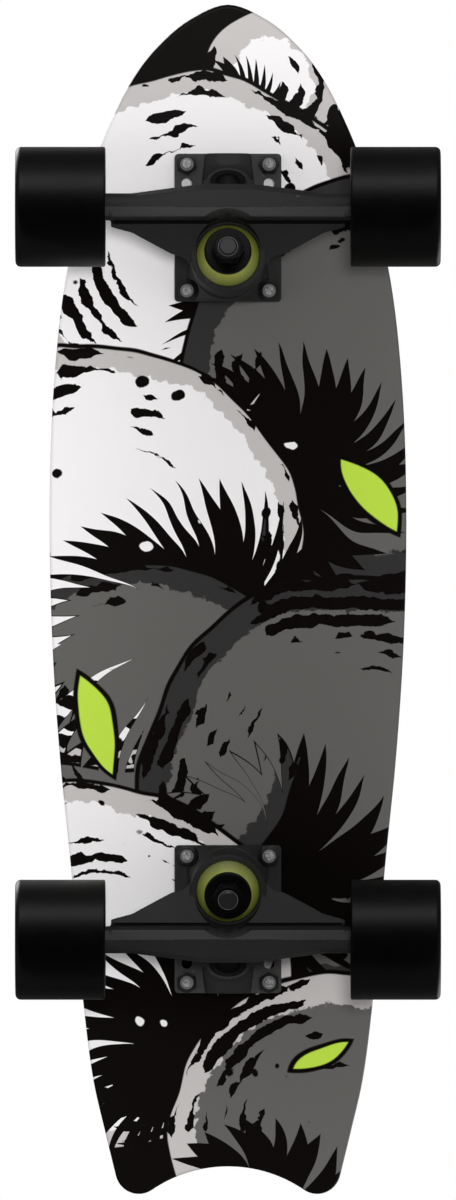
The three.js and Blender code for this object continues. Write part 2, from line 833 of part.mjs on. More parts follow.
// Each piece's shape is made once and used by both trucks.
const shapes = {
  riser: riser_pad(),
  baseplate: baseplate(),
  pivot_cup: pivot_cup(),
  hanger: hanger(),
  axle: axle(),
  kingpin: kingpin(),
  kingpin_nut: lock_nut(kingpin_nut_across_flats, kingpin_nut_height, kingpin_diameter),
  board_bushing: bushing(board_bushing_low, board_bushing_top, board_bushing_tip_diameter),
  road_bushing: bushing(road_bushing_top, road_bushing_tip, road_bushing_tip_diameter),
  board_cup: cup_washer(board_bushing_tip_diameter, board_cup_top, board_cup_low),
  road_cup: cup_washer(road_bushing_tip_diameter, road_cup_low, road_cup_top),
  bolt: deck_bolt(),
  deck_nut: lock_nut(deck_nut_across_flats, deck_nut_height, bolt_diameter),
  wheel: wheel(),
  bearing: bearing(),
  spacer: bearing_spacer(),
  axle_nut: along_x(lock_nut(axle_nut_across_flats, axle_nut_height, axle_diameter).rotateX(Math.PI)),
};

function add_deck_bolts(truck, end) {
  bolt_places().forEach(([x, y], i) => {
    const bolt = add_piece(truck, `${end}_deck_bolt_${i + 1}`, shapes.bolt, black_hardware);
    bolt.position.set(x, y, riser_thickness + grip_top);
    const nut = add_piece(truck, `${end}_deck_nut_${i + 1}`, shapes.deck_nut, black_hardware);
    nut.position.set(x, y, -plate_thickness - fit_gap);
  });
}

function add_kingpin_stack(truck, end) {
  const line = new THREE.Group();
  line.position.set(0, -ring_inset, -ring_drop);
  line.rotation.x = kingpin_lean;
  truck.add(line);
  add_piece(line, `${end}_kingpin`, shapes.kingpin, steel);
  add_piece(line, `${end}_board_side_cup_washer`, shapes.board_cup, black_hardware);
  add_piece(line, `${end}_board_side_bushing`, shapes.board_bushing, lime_urethane);
  add_piece(line, `${end}_road_side_bushing`, shapes.road_bushing, lime_urethane);
  add_piece(line, `${end}_road_side_cup_washer`, shapes.road_cup, black_hardware);
  const nut = add_piece(line, `${end}_kingpin_nut`, shapes.kingpin_nut, black_hardware);
  nut.position.z = kingpin_nut_top;
}

// side is +1 or -1 along the truck's own X, which the front truck's half turn swaps.
function add_wheel(truck, name, side) {
  const hub = new THREE.Group();
  hub.position.set(0, axle_outset, -truck_height);
  truck.add(hub);
  add_piece(hub, `${name}_wheel`, shapes.wheel, black_urethane).position.x = side * wheel_x;
  add_piece(hub, `${name}_bearing_spacer`, shapes.spacer, steel).position.x = side * wheel_x;
  const bearing_x = (bearing_inner + bearing_outer) / 2;
  add_piece(hub, `${name}_inner_bearing`, shapes.bearing, steel).position.x = side * (wheel_x - bearing_x);
  add_piece(hub, `${name}_outer_bearing`, shapes.bearing, steel).position.x = side * (wheel_x + bearing_x);
  const nut = add_piece(hub, `${name}_axle_nut`, shapes.axle_nut, black_hardware);
  nut.position.x = side * axle_nut_x;
  if (side < 0) nut.rotation.z = Math.PI;
}

function add_truck(end, truck_y, outwards) {
  const truck = new THREE.Group();
  truck.position.set(0, truck_y, plate_face_z);
  truck.rotation.z = outwards > 0 ? 0 : Math.PI;
  skateboard.add(truck);
  add_piece(truck, `${end}_riser_pad`, shapes.riser, black_plastic);
  add_piece(truck, `${end}_baseplate`, shapes.baseplate, black_metal);
  add_deck_bolts(truck, end);

  const steering = new THREE.Group();
  steering.position.set(0, -ring_inset, -ring_drop);
  steering.rotation.x = steering_angle - quarter_turn;
  truck.add(steering);
  add_piece(steering, `${end}_pivot_cup`, shapes.pivot_cup, black_plastic);

  add_kingpin_stack(truck, end);
  add_piece(truck, `${end}_hanger`, shapes.hanger, black_metal);
  const axle_piece = add_piece(truck, `${end}_axle`, shapes.axle, steel);
  axle_piece.position.set(0, axle_outset, -truck_height);
  add_wheel(truck, `${end}_left`, outwards);
  add_wheel(truck, `${end}_right`, -outwards);
}

add_truck('front', front_truck_y, -1);
add_truck('rear', rear_truck_y, 1);

export default skateboard;
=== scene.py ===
import math

import bmesh
import bpy
from mathutils import Matrix, Vector


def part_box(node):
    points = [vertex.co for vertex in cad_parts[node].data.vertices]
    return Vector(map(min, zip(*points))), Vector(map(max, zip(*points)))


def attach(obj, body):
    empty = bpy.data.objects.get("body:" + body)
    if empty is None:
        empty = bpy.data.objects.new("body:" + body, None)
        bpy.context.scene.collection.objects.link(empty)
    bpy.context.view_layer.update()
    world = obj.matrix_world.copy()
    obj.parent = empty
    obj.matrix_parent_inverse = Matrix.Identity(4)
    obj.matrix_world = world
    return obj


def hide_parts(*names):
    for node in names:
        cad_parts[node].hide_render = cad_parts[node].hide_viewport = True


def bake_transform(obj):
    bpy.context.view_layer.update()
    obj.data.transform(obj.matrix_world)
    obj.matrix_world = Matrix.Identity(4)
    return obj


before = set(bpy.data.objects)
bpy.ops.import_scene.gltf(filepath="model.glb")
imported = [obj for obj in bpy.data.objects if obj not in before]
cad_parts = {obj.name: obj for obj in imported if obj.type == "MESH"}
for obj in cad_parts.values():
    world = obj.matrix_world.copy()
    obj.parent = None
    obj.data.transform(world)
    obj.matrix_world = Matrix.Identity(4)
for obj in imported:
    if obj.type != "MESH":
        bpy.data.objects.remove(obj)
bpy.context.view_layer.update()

# The deck is seven maple plies, glued and pressed in a mould that bends the two kicks and the concave.
# It is sawn to a pointed nose and a swallow tail, its edges are rounded with a router, and a printed
# film is pressed on its underside.
ends = ("front", "rear")
mm = 0.001
deck_length = 600 * mm
deck_width = 180 * mm
deck_thickness = 10 * mm
concave_depth = 4 * mm
concave_flat_width = 60 * mm
nose_kick = math.radians(10)
tail_kick = math.radians(18)
kick_bend_radius = 80 * mm
kick_beyond_plate = 2.5 * mm
notch_depth = 14 * mm
tail_tip_radius = 12 * mm
tail_tip_x = 45 * mm
tail_tip_start = math.radians(11)
under_edge_round = 2.5 * mm
upper_edge_round = 1.5 * mm
ply_count = 7
side_steps, tip_steps, notch_steps = 6, 14, 16
concave_steps, kick_steps = 13, 8
bolt_hole_radius = 2.6 * mm
head_seat_radius = 4.9 * mm
head_seat_height = 2.7 * mm
past_surface = 2 * mm
weld_distance = 0.002 * mm
no_distance = 1e-7
side_shares = [
    (0.0128, 0.216), (0.033, 0.378), (0.0565, 0.507), (0.097, 0.652), (0.15, 0.783),
    (0.231, 0.91), (0.315, 0.974), (0.4167, 1.0), (0.5333, 0.986), (0.634, 0.941),
    (0.718, 0.884), (0.836, 0.812), (0.903, 0.756), (0.947, 0.69),
]
deck_under_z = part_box("front_riser_pad")[1].z
nose_bend_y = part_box("front_baseplate")[0].y - kick_beyond_plate
tail_bend_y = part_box("rear_baseplate")[1].y + kick_beyond_plate


def kick(past, angle):
    """How far a kick has risen, and its slope, at a distance past the start of its bend."""
    bend = kick_bend_radius * math.sin(angle)
    if past <= 0:
        return 0, 0
    if past < bend:
        level = math.sqrt(kick_bend_radius ** 2 - past ** 2)
        return kick_bend_radius - level, past / level
    rise = kick_bend_radius * (1 - math.cos(angle))
    return rise + (past - bend) * math.tan(angle), math.tan(angle)


def board_point(x, y, height):
    """A point at a height over the deck's underside, square to it."""
    beyond = max(abs(x) - concave_flat_width / 2, 0)
    curved = (deck_width - concave_flat_width) / 2
    concave_slope = math.copysign(2 * concave_depth * beyond / curved ** 2, x)
    nose_rise, nose_slope = kick(nose_bend_y - y, nose_kick)
    tail_rise, tail_slope = kick(y - tail_bend_y, tail_kick)
    rise = concave_depth * (beyond / curved) ** 2 + nose_rise + tail_rise
    square = Vector((-concave_slope, nose_slope - tail_slope, 1)).normalized()
    return Vector((x, y, deck_under_z + rise)) + square * height


def smooth_side(points, steps):
    """A centripetal Catmull-Rom curve through the points."""
    path = [2 * points[0] - points[1], *points, 2 * points[-1] - points[-2]]
    line = []
    for before, start, end, after in zip(path, path[1:], path[2:], path[3:]):
        gap_before = (start - before).length ** 0.5
        gap = (end - start).length ** 0.5
        gap_after = (after - end).length ** 0.5
        leave = (start - before) / gap_before - (end - before) / (gap_before + gap) + (end - start) / gap
        reach = (end - start) / gap - (after - start) / (gap + gap_after) + (after - end) / gap_after
        leave, reach = leave * gap, reach * gap
        for step in range(steps):
            t = step / steps
            line.append(
                start + leave * t
                + (3 * (end - start) - 2 * leave - reach) * t ** 2
                + (2 * (start - end) + leave + reach) * t ** 3
            )
    return [*line, points[-1]]


def direction(turn):
    return Vector((math.cos(turn), math.sin(turn)))


def mirrored(points):
    """The same points across the board's middle line, in the opposite order."""
    return [Vector((-p.x, p.y)) for p in reversed(points)]


def board_outline():
    """The deck's outline, anticlockwise from the nose: side, round tail tip, notch, and back."""
    half = deck_length / 2
    tip = Vector((tail_tip_x, half - tail_tip_radius))
    side = [Vector((across * deck_width / 2, along * deck_length - half)) for along, across in side_shares]
    side.append(tip + tail_tip_radius * direction(tail_tip_start))
    whole = smooth_side([*mirrored(side), Vector((0, -half)), *side], side_steps)
    right = whole[len(whole) // 2:]
    notch_radius = tip.x ** 2 / (2 * notch_depth) + notch_depth / 2 - tail_tip_radius
    notch_y = half - notch_depth + notch_radius
    tip_end = math.atan2(notch_y - tip.y, -tip.x)
    for step in range(1, tip_steps + 1):
        turn = tail_tip_start + (tip_end - tail_tip_start) * step / tip_steps
        right.append(tip + tail_tip_radius * direction(turn))
    for step in range(1, notch_steps + 1):
        turn = tip_end - math.pi + (math.pi / 2 - tip_end) * step / notch_steps
        right.append(Vector((0, notch_y)) + notch_radius * direction(turn))
    return right + mirrored(right[1:-1])


def inset_outline(outline, inset):
    """The outline drawn in by a distance, square to its own line."""
    moved = []
    for before, point, after in zip([outline[-1], *outline], outline, [*outline[1:], outline[0]]):
        along = (after - before).normalized()
        moved.append(point - Vector((along.y, -along.x)) * inset)
    return moved


def add_side(shape, rings):
    """Adds faces between each ring of points and the next. A ring on an axis is one point, repeated."""
    for low, high in zip(rings, rings[1:]):
        for i in range(len(low)):
            j = (i + 1) % len(low)
            corners = list(dict.fromkeys((low[i], low[j], high[j], high[i])))
            if len(corners) > 2:
                shape.faces.new(corners)


def closed_rings(rings):
    """A body with faces between rings of points, and a flat face over the first and the last."""
    shape = bmesh.new()
    made = [[shape.verts.new(point) for point in ring] for ring in rings]
    add_side(shape, made)
    shape.faces.new(made[0][::-1])
    shape.faces.new(made[-1])
    bmesh.ops.recalc_face_normals(shape, faces=shape.faces)
    return shape


def edge_rings(outline, low, high, low_round, high_round, steps=4):
    """Rings of a flat slab whose edges are rounded, from its low face to its high one."""
    turns = [math.pi / 2 * step / steps for step in range(steps + 1)]
    edges = [(low_round * (1 - math.sin(turn)), low + low_round * (1 - math.cos(turn))) for turn in turns]
    edges += [(high_round * (1 - math.cos(turn)), high - high_round * (1 - math.sin(turn))) for turn in turns]
    return [[(p.x, p.y, height) for p in inset_outline(outline, inset)] for inset, height in edges]


def as_object(name, shape):
    mesh = bpy.data.meshes.new(name)
    shape.to_mesh(mesh)
    shape.free()
    made = bpy.data.objects.new(name, mesh)
    bpy.context.scene.collection.objects.link(made)
    return made


def evaluated(worked):
    """The mesh that an object's modifiers give. The object itself goes."""
    graph = bpy.context.evaluated_depsgraph_get()
    mesh = bpy.data.meshes.new_from_object(worked.evaluated_get(graph), depsgraph=graph)
    bpy.data.objects.remove(worked)
    shape = bmesh.new()
    shape.from_mesh(mesh)
    bpy.data.meshes.remove(mesh)
    return shape


def with_values(thing, **values):
    for name, value in values.items():
        setattr(thing, name, value)
    return thing


def modify(piece, kind, **values):
    with_values(piece.modifiers.new(kind, kind), **values)


def carved(shape, tools, operation="DIFFERENCE"):
    """A shape after a row of cuts, or joins, with other closed shapes."""
    worked = as_object("worked", shape)
    held = []
    for tool in tools:
        held.append(as_object("tool", tool))
        modify(worked, "BOOLEAN", object=held[-1], operation=operation, solver="EXACT")
    done = evaluated(worked)
    for tool in held:
        bpy.data.objects.remove(tool)
    if operation == "DIFFERENCE":
        bmesh.ops.remove_doubles(done, verts=done.verts, dist=weld_distance)
        bmesh.ops.dissolve_degenerate(done, edges=done.edges, dist=weld_distance)
        bmesh.ops.holes_fill(done, edges=[edge for edge in done.edges if edge.is_boundary], sides=8)
    return done


def rounded_line(corners, steps=4):
    """A line of (across, up) corners, with an arc at each corner that gives a radius."""
    line = []
    for i, corner in enumerate(corners):
        point = Vector(corner[:2])
        radius = corner[2] if len(corner) > 2 else 0
        if not radius:
            line.append(point)
            continue
        back = (Vector(corners[i - 1][:2]) - point).normalized()
        on = (Vector(corners[(i + 1) % len(corners)][:2]) - point).normalized()
        half = back.angle(on) / 2
        centre = point + (back + on).normalized() * radius / math.sin(half)
        start = point + back * radius / math.tan(half) - centre
        end = point + on * radius / math.tan(half) - centre
        sweep = start.angle_signed(end)
        for step in range(steps + 1):
            line.append(centre + Matrix.Rotation(-sweep * step / steps, 2) @ start)
    return line


def turned(corners, sides=64):
    """A body turned round the Z axis, from (radius, height) corners that run up its outside."""
    line = rounded_line(corners)
    turns = [2 * math.pi * i / sides for i in range(sides)]
    shape = bmesh.new()
    rings = []
    for point in line:
        if point.x < no_distance:
            rings.append([shape.verts.new((0, 0, point.y))] * sides)
            continue
        ring = [(point.x * math.cos(turn), point.x * math.sin(turn), point.y) for turn in turns]
        rings.append([shape.verts.new(place) for place in ring])
    if line[0].x > no_distance:
        rings.append(rings[0])
    add_side(shape, rings)
    return shape


def solid(corners, sides=64):
    """A turned body with flat ends, from the corners of its side."""
    return turned([(0, corners[0][1]), *corners, (0, corners[-1][1])], sides)


def tube(inner, outer, low, high, inner_round=0, outer_round=0, sides=64):
    """A turned body with a bore, and with the edges of both rounded."""
    return turned([
        (inner, low, inner_round), (outer, low, outer_round),
        (outer, high, outer_round), (inner, high, inner_round),
    ], sides)


def moved(shape, matrix):
    bmesh.ops.transform(shape, matrix=matrix, verts=shape.verts)
    return shape


def shifted(shape, *place):
    return moved(shape, Matrix.Translation(place))


def joined(*shapes):
    whole = bmesh.new()
    for shape in shapes:
        mesh = bpy.data.meshes.new("part")
        shape.to_mesh(mesh)
        shape.free()
        whole.from_mesh(mesh)
        bpy.data.meshes.remove(mesh)
    return whole


def sum_of(operation, swapped=False):
    """A method for one sum on a wire. In a swapped sum the wire comes last."""
    def work(wire, *others):
        return wire.maths(operation, *((*others, wire) if swapped else (wire, *others)))
    return work


class Wire:
    """One socket in a tree of nodes. A sum on wires adds the Math nodes that work it out."""

    __add__ = __radd__ = sum_of("ADD")
    __sub__, __rsub__ = sum_of("SUBTRACT"), sum_of("SUBTRACT", swapped=True)
    __mul__ = __rmul__ = sum_of("MULTIPLY")
    __truediv__, least = sum_of("DIVIDE"), sum_of("MINIMUM")
    __abs__, floor, past_whole = sum_of("ABSOLUTE"), sum_of("FLOOR"), sum_of("FRACT")

    def __init__(self, nodes, socket):
        self.nodes = nodes
        self.socket = socket

    def maths(self, operation, *values):
        return self.nodes.node("ShaderNodeMath", {"operation": operation}, dict(enumerate(values)))

    def over(self, edge, soft):
        """0 where the value is under an edge and 1 over it, with a soft step between."""
        return self.nodes.node(
            "ShaderNodeMapRange", {"interpolation_type": "SMOOTHSTEP"},
            {"Value": self, "From Min": edge - soft / 2, "From Max": edge + soft / 2},
        )

    def under(self, edge, soft):
        return 1 - self.over(edge, soft)


class Nodes:
    """A tree of nodes. One method adds every node, with its settings first and then its sockets."""

    def __init__(self, tree):
        self.tree = tree

    def plug(self, socket, value):
        if isinstance(value, Wire):
            self.tree.links.new(value.socket, socket)
        else:
            socket.default_value = value

    def node(self, kind, settings=None, inputs=None, output=0):
        made = with_values(self.tree.nodes.new(kind), **(settings or {}))
        for name, value in (inputs or {}).items():
            self.plug(made.inputs[name], value)
        return Wire(self, made.outputs[output]) if made.outputs else made


class Finish(Nodes):
    """A surface's material: a Principled shader with its constants, and whatever feeds it."""

    def __init__(self, name, **constants):
        self.material = bpy.data.materials.new(name)
        self.material.use_nodes = True
        super().__init__(self.material.node_tree)
        self.shader = self.tree.nodes["Principled BSDF"]
        self.place = self.node("ShaderNodeTexCoord", output="Object")
        for socket, value in constants.items():
            self.feed(socket.replace("_", " "), value)

    def feed(self, socket, value):
        self.plug(self.shader.inputs[socket], value)

    def part(self, vector, axis):
        return self.node("ShaderNodeSeparateXYZ", inputs={0: vector}, output=axis)

    def vector(self, operation, *values, output=0, **named):
        inputs = {**dict(enumerate(values)), **named}
        return self.node("ShaderNodeVectorMath", {"operation": operation}, inputs, output)

    def chance(self, number):
        """A random value from 0 to 1 that stays the same for the same whole number."""
        return self.node("ShaderNodeTexWhiteNoise", {"noise_dimensions": "1D"}, {"W": number})

    def attribute(self, name):
        return self.node("ShaderNodeAttribute", {"attribute_name": name}, output="Fac")

    def stretched(self, *shares):
        return self.node("ShaderNodeMapping", inputs={"Vector": self.place, "Scale": shares})

    def noise(self, size, detail=2.0, roughness=0.5, vector=None, output=0):
        """Cloudy noise round 0.5 whose blots are about one size across."""
        return self.node("ShaderNodeTexNoise", output=output, inputs={
            "Vector": vector or self.place, "Scale": 1 / size, "Detail": detail, "Roughness": roughness,
        })

    def cells(self, size, output="Distance", vector=None):
        """Cells of about one size: the distance from a cell's middle, or its own chance colour."""
        inputs = {"Vector": vector or self.place, "Scale": 1 / size}
        return self.node("ShaderNodeTexVoronoi", inputs=inputs, output=output)

    def mix(self, first, second, share):
        """The first colour where share is 0, and the second where it is 1."""
        inputs = {0: share, 6: tint(first), 7: tint(second)}
        return self.node("ShaderNodeMix", {"data_type": "RGBA"}, inputs, output=2)

    def bump(self, height, depth):
        """Feeds a relief of that real depth to the surface's normal."""
        self.feed("Normal", self.node("ShaderNodeBump", inputs={"Height": height, "Distance": depth}))


def tint(levels):
    """The linear colour of 0 to 255 levels, or of one level for a grey. A wire stays as it is."""
    if isinstance(levels, Wire):
        return levels
    channels = [level / 255 for level in (levels if isinstance(levels, tuple) else [levels] * 3)]
    linear = [c / 12.92 if c <= 0.04045 else ((c + 0.055) / 1.055) ** 2.4 for c in channels]
    return (*linear, 1.0)


def clouded(name, tones, blots, rough, relief, stretch=(1, 1, 1), **constants):
    """A finish in two greys: cloudy blots, which also change the roughness, over a fine relief."""
    finish = Finish(name, **constants)
    clouds = finish.noise(*blots)
    finish.feed("Base Color", finish.mix(*tones, clouds))
    finish.feed("Roughness", rough[0] + rough[1] * clouds)
    grain_size, detail, depth = relief
    finish.bump(finish.noise(grain_size, detail, vector=finish.stretched(*stretch)), depth)
    return finish


def surfaced(piece, finish, sharp_deg=32):
    """Gives a piece its finish and its smooth and sharp edges."""
    piece.data.materials.clear()
    piece.data.materials.append(finish.material)
    piece.data.shade_smooth()
    piece.data.set_sharp_from_angle(angle=math.radians(sharp_deg))
    modify(piece, "WEIGHTED_NORMAL", keep_sharp=True)
    return piece


def fitted(name, shape, finish, slot, body, *nodes):
    """Makes a finished piece that stands for its CAD nodes and rides on a body."""
    piece = surfaced(as_object(name, shape), finish)
    if nodes:
        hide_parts(*nodes)
    if body:
        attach(piece, body)
    return piece


def pressed(outline, low, high, low_round, high_round, holes):
    """A flat slab, drilled, cut into small cells and bent to the board's shape."""
    shape = carved(closed_rings(edge_rings(outline, low, high, low_round, high_round)), holes)
    half_flat, half_width = concave_flat_width / 2, deck_width / 2
    for side in (-1, 1):
        for step in range(concave_steps):
            x = side * (half_flat + (half_width - half_flat) * step / concave_steps)
            cut(shape, (x, 0, 0), (1, 0, 0))
    for start, angle, way in ((nose_bend_y, nose_kick, -1), (tail_bend_y, tail_kick, 1)):
        bend = kick_bend_radius * math.sin(angle)
        for step in range(kick_steps + 1):
            cut(shape, (0, start + way * bend * step / kick_steps, 0), (0, 1, 0))
    reading = shape.verts.layers.float.new("rise")
    for point in shape.verts:
        x, y, height = point.co
        point[reading] = height / deck_thickness
        point.co = board_point(x, y, height)
    return shape


def cut(shape, point, square_to):
    everything = shape.verts[:] + shape.edges[:] + shape.faces[:]
    bmesh.ops.bisect_plane(shape, geom=everything, dist=no_distance, plane_co=point, plane_no=square_to)


def middle_of(node):
    low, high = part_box(node)
    return (low + high) / 2


def size_of(node):
    low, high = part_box(node)
    return high - low


def nodes_of(kind):
    """The CAD's names for a kind of fastener that each truck has four of."""
    return [f"{end}_{kind}_{i}" for end in ends for i in range(1, 5)]


def bolt_holes():
    """A countersunk hole for each bolt that holds a truck."""
    corners = [
        (bolt_hole_radius, -3 * deck_thickness), (bolt_hole_radius, grip_top - head_seat_height),
        (head_seat_radius, grip_top), (head_seat_radius, grip_top + past_surface),
    ]
    return [shifted(solid(corners, 32), *middle_of(node).xy, 0) for node in nodes_of("deck_bolt")]


outline = board_outline()
grip_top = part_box("front_deck_bolt_1")[1].z - deck_under_z


def printed_maple():
    """Maple with its plies along the edge, and a satin print on the underside."""
    finish = Finish("printed_maple", Specular_IOR_Level=0.05)
    rise = finish.attribute("rise")

    # Sawn edge: the plies' tones alternate, with a dark glue line between them.
    ply = rise * ply_count
    tone = finish.chance(ply.floor() + 3)
    grain = finish.noise(2 * mm, 4, vector=finish.stretched(0.2, 0.2, 3))
    maple = finish.mix((214, 176, 124), (168, 122, 76), tone * 0.55 + grain * 0.5 - 0.1)
    glue = abs(ply.past_whole() - 0.5).over(0.45, 0.06)
    maple = finish.mix(maple, (92, 62, 38), glue * 0.7)

    # The print is drawn in millimetres, and a slow noise keeps its arcs from being too true.
    reach = 22
    drift = finish.noise(75 * mm, output="Color")
    drawn = finish.vector("SCALE", finish.place, Scale=1 / mm)
    drawn = finish.vector("ADD", drawn, finish.vector("SCALE", drift, Scale=reach))
    drawn = finish.vector("MULTIPLY", drawn, (1, 1, 0))
    x, y = finish.part(drawn, "X") - reach / 2, finish.part(drawn, "Y") - reach / 2

    def beyond(circle):
        """How far a point lies outside a circle, given as its centre and radius."""
        across, along, radius = circle
        middle = (across + reach / 2, along + reach / 2, 0)
        return finish.vector("DISTANCE", drawn, middle, output="Value") - radius

    def brushed(circle, pitch, length, seed):
        """A circle's distance, with brush strokes of uneven length that run into it."""
        across, along, radius = circle
        turn = (y - along).maths("ARCTAN2", y - along, x - across)
        distance = beyond(circle)
        stroke = turn * (radius / pitch) + distance * (0.55 / pitch) + seed
        taper = 1 - abs(2 * stroke.past_whole() - 1)
        length = length * (0.2 + finish.chance(stroke.floor() + seed))
        return distance + taper * length

    black, white, light_grey, mid_grey = (7, 4, 3), (231, 229, 230), (186, 182, 181), (93, 92, 90)
    dark_grey, lime = (48, 47, 47), (180, 213, 70)
    ink_line, ink_edge = 2.2, 0.8

    def inked(picture, body, ink):
        """The picture with a shape of ink laid on it, inside a black outline."""
        picture = finish.mix(picture, black, body.over(-ink_line, ink_edge))
        return finish.mix(picture, ink, body.over(0, ink_edge))

    # Spots, some of them left white on black and the others black on the colours
    pick = finish.cells(15, "Color", drawn)
    ragged = finish.noise(5 * mm, 3)
    spot = finish.part(pick, "X") * 0.36 - 0.12 + (ragged - 0.5) * 0.14 - finish.cells(15, vector=drawn)
    spot = spot.over(0, 0.04)
    left_white = finish.part(pick, "Y").over(0.55, 0.02)
    picture = finish.mix(black, white, spot * left_white)

    # Every crest is a disc with a hollow cut out of it, brushed at the hollow's edge:
    # disc, hollow, ink, shade along the disc's rim, and the strokes' pitch and length
    crests = [
        ((-44, 66, 84), (-104, 118, 30), mid_grey, dark_grey, 15, 30),
        ((24, -262, 36), (6, -246, 29), white, light_grey, 6, 15),
        ((-18, -178, 88), (38, -128, 74), white, light_grey, 11, 44),
        ((76, -108, 100), (30, -66, 66), mid_grey, dark_grey, 12, 36),
        ((-66, -22, 104), (-18, 24, 84), white, light_grey, 12, 44),
        ((58, 92, 102), (22, 136, 68), mid_grey, dark_grey, 13, 40),
        ((-62, 184, 92), (-20, 232, 72), white, light_grey, 11, 38),
        ((56, 268, 84), (16, 312, 52), mid_grey, light_grey, 12, 30),
    ]
    for seed, (disc, hollow, ink, shadow, pitch, length) in enumerate(crests):
        outer = 0 - beyond(disc)
        body = outer.least(brushed(hollow, pitch, length, 5 * seed + 2))
        shaded = finish.mix(shadow, ink, (outer - 9 * ragged).over(6 + 4 * (seed % 2), ink_edge))
        # Tapered strokes of black ink that follow the disc's rim
        stroke = (outer + 5 * ragged) / 9
        width = finish.noise(34 * mm).over(0.55, 0.14) * outer.under(46, 14) * 0.42 - 0.06
        strokes = (width - abs(stroke.past_whole() - 0.5)).over(0, 0.03)
        picture = inked(picture, body, finish.mix(shaded, black, strokes))
    picture = finish.mix(picture, black, spot * (1 - left_white))

    # Slim lime leaves near the sides, each the overlap of two circles
    for across, along, lean_deg, length, width in (
        (-67, 62, 66, 50, 15), (70, -52, 58, 46, 14), (46, 226, -34, 26, 8),
    ):
        bend = (width ** 2 + length ** 2) / (4 * width)
        apart, lean = bend - width / 2, math.radians(lean_deg)
        shift = (apart * math.sin(lean), -apart * math.cos(lean))
        sides = [(across + way * shift[0], along + way * shift[1], bend) for way in (-1, 1)]
        leaf = (0 - beyond(sides[0])).least(0 - beyond(sides[1]))
        picture = inked(picture, leaf, lime)

    printed = rise.under(under_edge_round / deck_thickness, 0.03)
    finish.feed("Base Color", finish.mix(maple, picture, printed))
    finish.feed("Roughness", 0.62 - 0.22 * printed + 0.08 * (grain - 0.5))
    finish.bump(grain * (1 - printed), 0.05 * mm)
    return finish


fitted(
    "deck_board", pressed(outline, 0, deck_thickness, under_edge_round, upper_edge_round, bolt_holes()),
    printed_maple(), "deck_print", "board", "deck",
)

# The grip tape is one sheet of silicon carbide grit on a plastic film. It is stuck over the whole top of
# the deck, filed off flush with the edge, and pierced for the bolts.
grip_thickness = 0.8 * mm
grip_inset = 0.9 * mm
grip_edge_round = 0.25 * mm


def gritty_black():
    """Black grit: fine grains, a few with a painted glint, over soft blotches of glue and wear."""
    finish = Finish("gritty_black", Specular_IOR_Level=0.3)
    grains, facets = finish.cells(0.7 * mm), finish.cells(0.7 * mm, "Color")
    clumps = finish.noise(2.4 * mm, 3, 0.7)
    tone = finish.mix(finish.mix(22, 40, finish.noise(60 * mm, 3)), 54, clumps.over(0.58, 0.2))
    tone = finish.mix(72, tone, grains.over(0.12, 0.16))
    # Painted glint: a few grains in chance cells are painted light grey.
    finish.feed("Base Color", finish.mix(tone, 150, finish.part(facets, "X").over(0.94, 0.04)))
    finish.feed("Roughness", 0.95 - 0.3 * finish.part(facets, "Y"))
    finish.bump(clumps - grains, 0.3 * mm)
    return finish


grip = pressed(
    inset_outline(outline, grip_inset), grip_top - grip_thickness, grip_top, grip_edge_round,
    grip_edge_round, bolt_holes(),
)
fitted("grip_sheet", grip, gritty_black(), "grip", "board", "grip_tape")

# A riser pad is a moulded slab of hard black rubber between deck and baseplate. It gives the wheels
# room, and it has the baseplate's own six holes.
bolt_across = 41.3 * mm
bolt_along = 63.5 * mm
spare_hole_step = 9.5 * mm
hole_radius = 2.7 * mm
plate_width, plate_length, riser_thickness = size_of("front_riser_pad")
plate_corner = 2 * mm
riser_edge_round = 0.5 * mm
through_riser = 5 * mm
bolt_places = [(x * bolt_across, y * bolt_along) for x in (-0.5, 0.5) for y in (-0.5, 0.5)]


def truck_place(end):
    """The middle of a truck's baseplate, on the riser's side, with +Y towards the board's end."""
    plate = f"{end}_baseplate"
    place = Matrix.Translation((*middle_of(plate).xy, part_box(plate)[1].z))
    return place @ Matrix.Rotation(math.pi if end == "front" else 0, 4, "Z")


def on_both_trucks(name, shape, finish, slot, node, body="board", bends=None):
    """Sets a piece, made in the truck's own frame, in both trucks in place of a CAD node."""
    for end in ends:
        place = truck_place(end)
        rides = body if body == "board" else f"{end}_{body}"
        placed = moved(shape.copy(), place)
        piece = fitted(f"{end}_{name}", placed, finish, slot, None if bends else rides, f"{end}_{node}")
        if bends:
            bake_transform(piece)
    shape.free()


def rounded_rectangle(width, length, radius, steps=6):
    points = []
    for corner, (x, y) in enumerate(((1, 1), (-1, 1), (-1, -1), (1, -1))):
        centre = Vector((x * (width / 2 - radius), y * (length / 2 - radius)))
        for step in range(steps + 1):
            points.append(centre + radius * direction((corner + step / steps) * math.pi / 2))
    return points


def slab(outline, low, high, edge_round):
    shape = closed_rings(edge_rings(outline, low, high, edge_round, edge_round))
    bmesh.ops.remove_doubles(shape, verts=shape.verts, dist=weld_distance)
    return shape


def rod(radius, low, high, sides=32):
    return solid([(radius, low), (radius, high)], sides)


def plate_holes(low, high):
    """The four bolt holes and the two spare ones next to the pivot."""
    spare = [(side * bolt_across / 2, bolt_along / 2 - spare_hole_step) for side in (-1, 1)]
    return [shifted(rod(hole_radius, low, high), *place, 0) for place in bolt_places + spare]


# Moulded rubber is dull, with a faint bloom and a fine sparked texture from the mould
rubber = clouded(
    "black_rubber", (20, 33), (14 * mm, 4), (0.6, 0.25), (0.4 * mm, 2, 0.05 * mm), Specular_IOR_Level=0.3,
)
riser = slab(
    rounded_rectangle(plate_width, plate_length, plate_corner), 0, riser_thickness, riser_edge_round,
)
riser = carved(riser, plate_holes(-through_riser, through_riser))
on_both_trucks("rubber_riser", riser, rubber, "riser", "riser_pad")

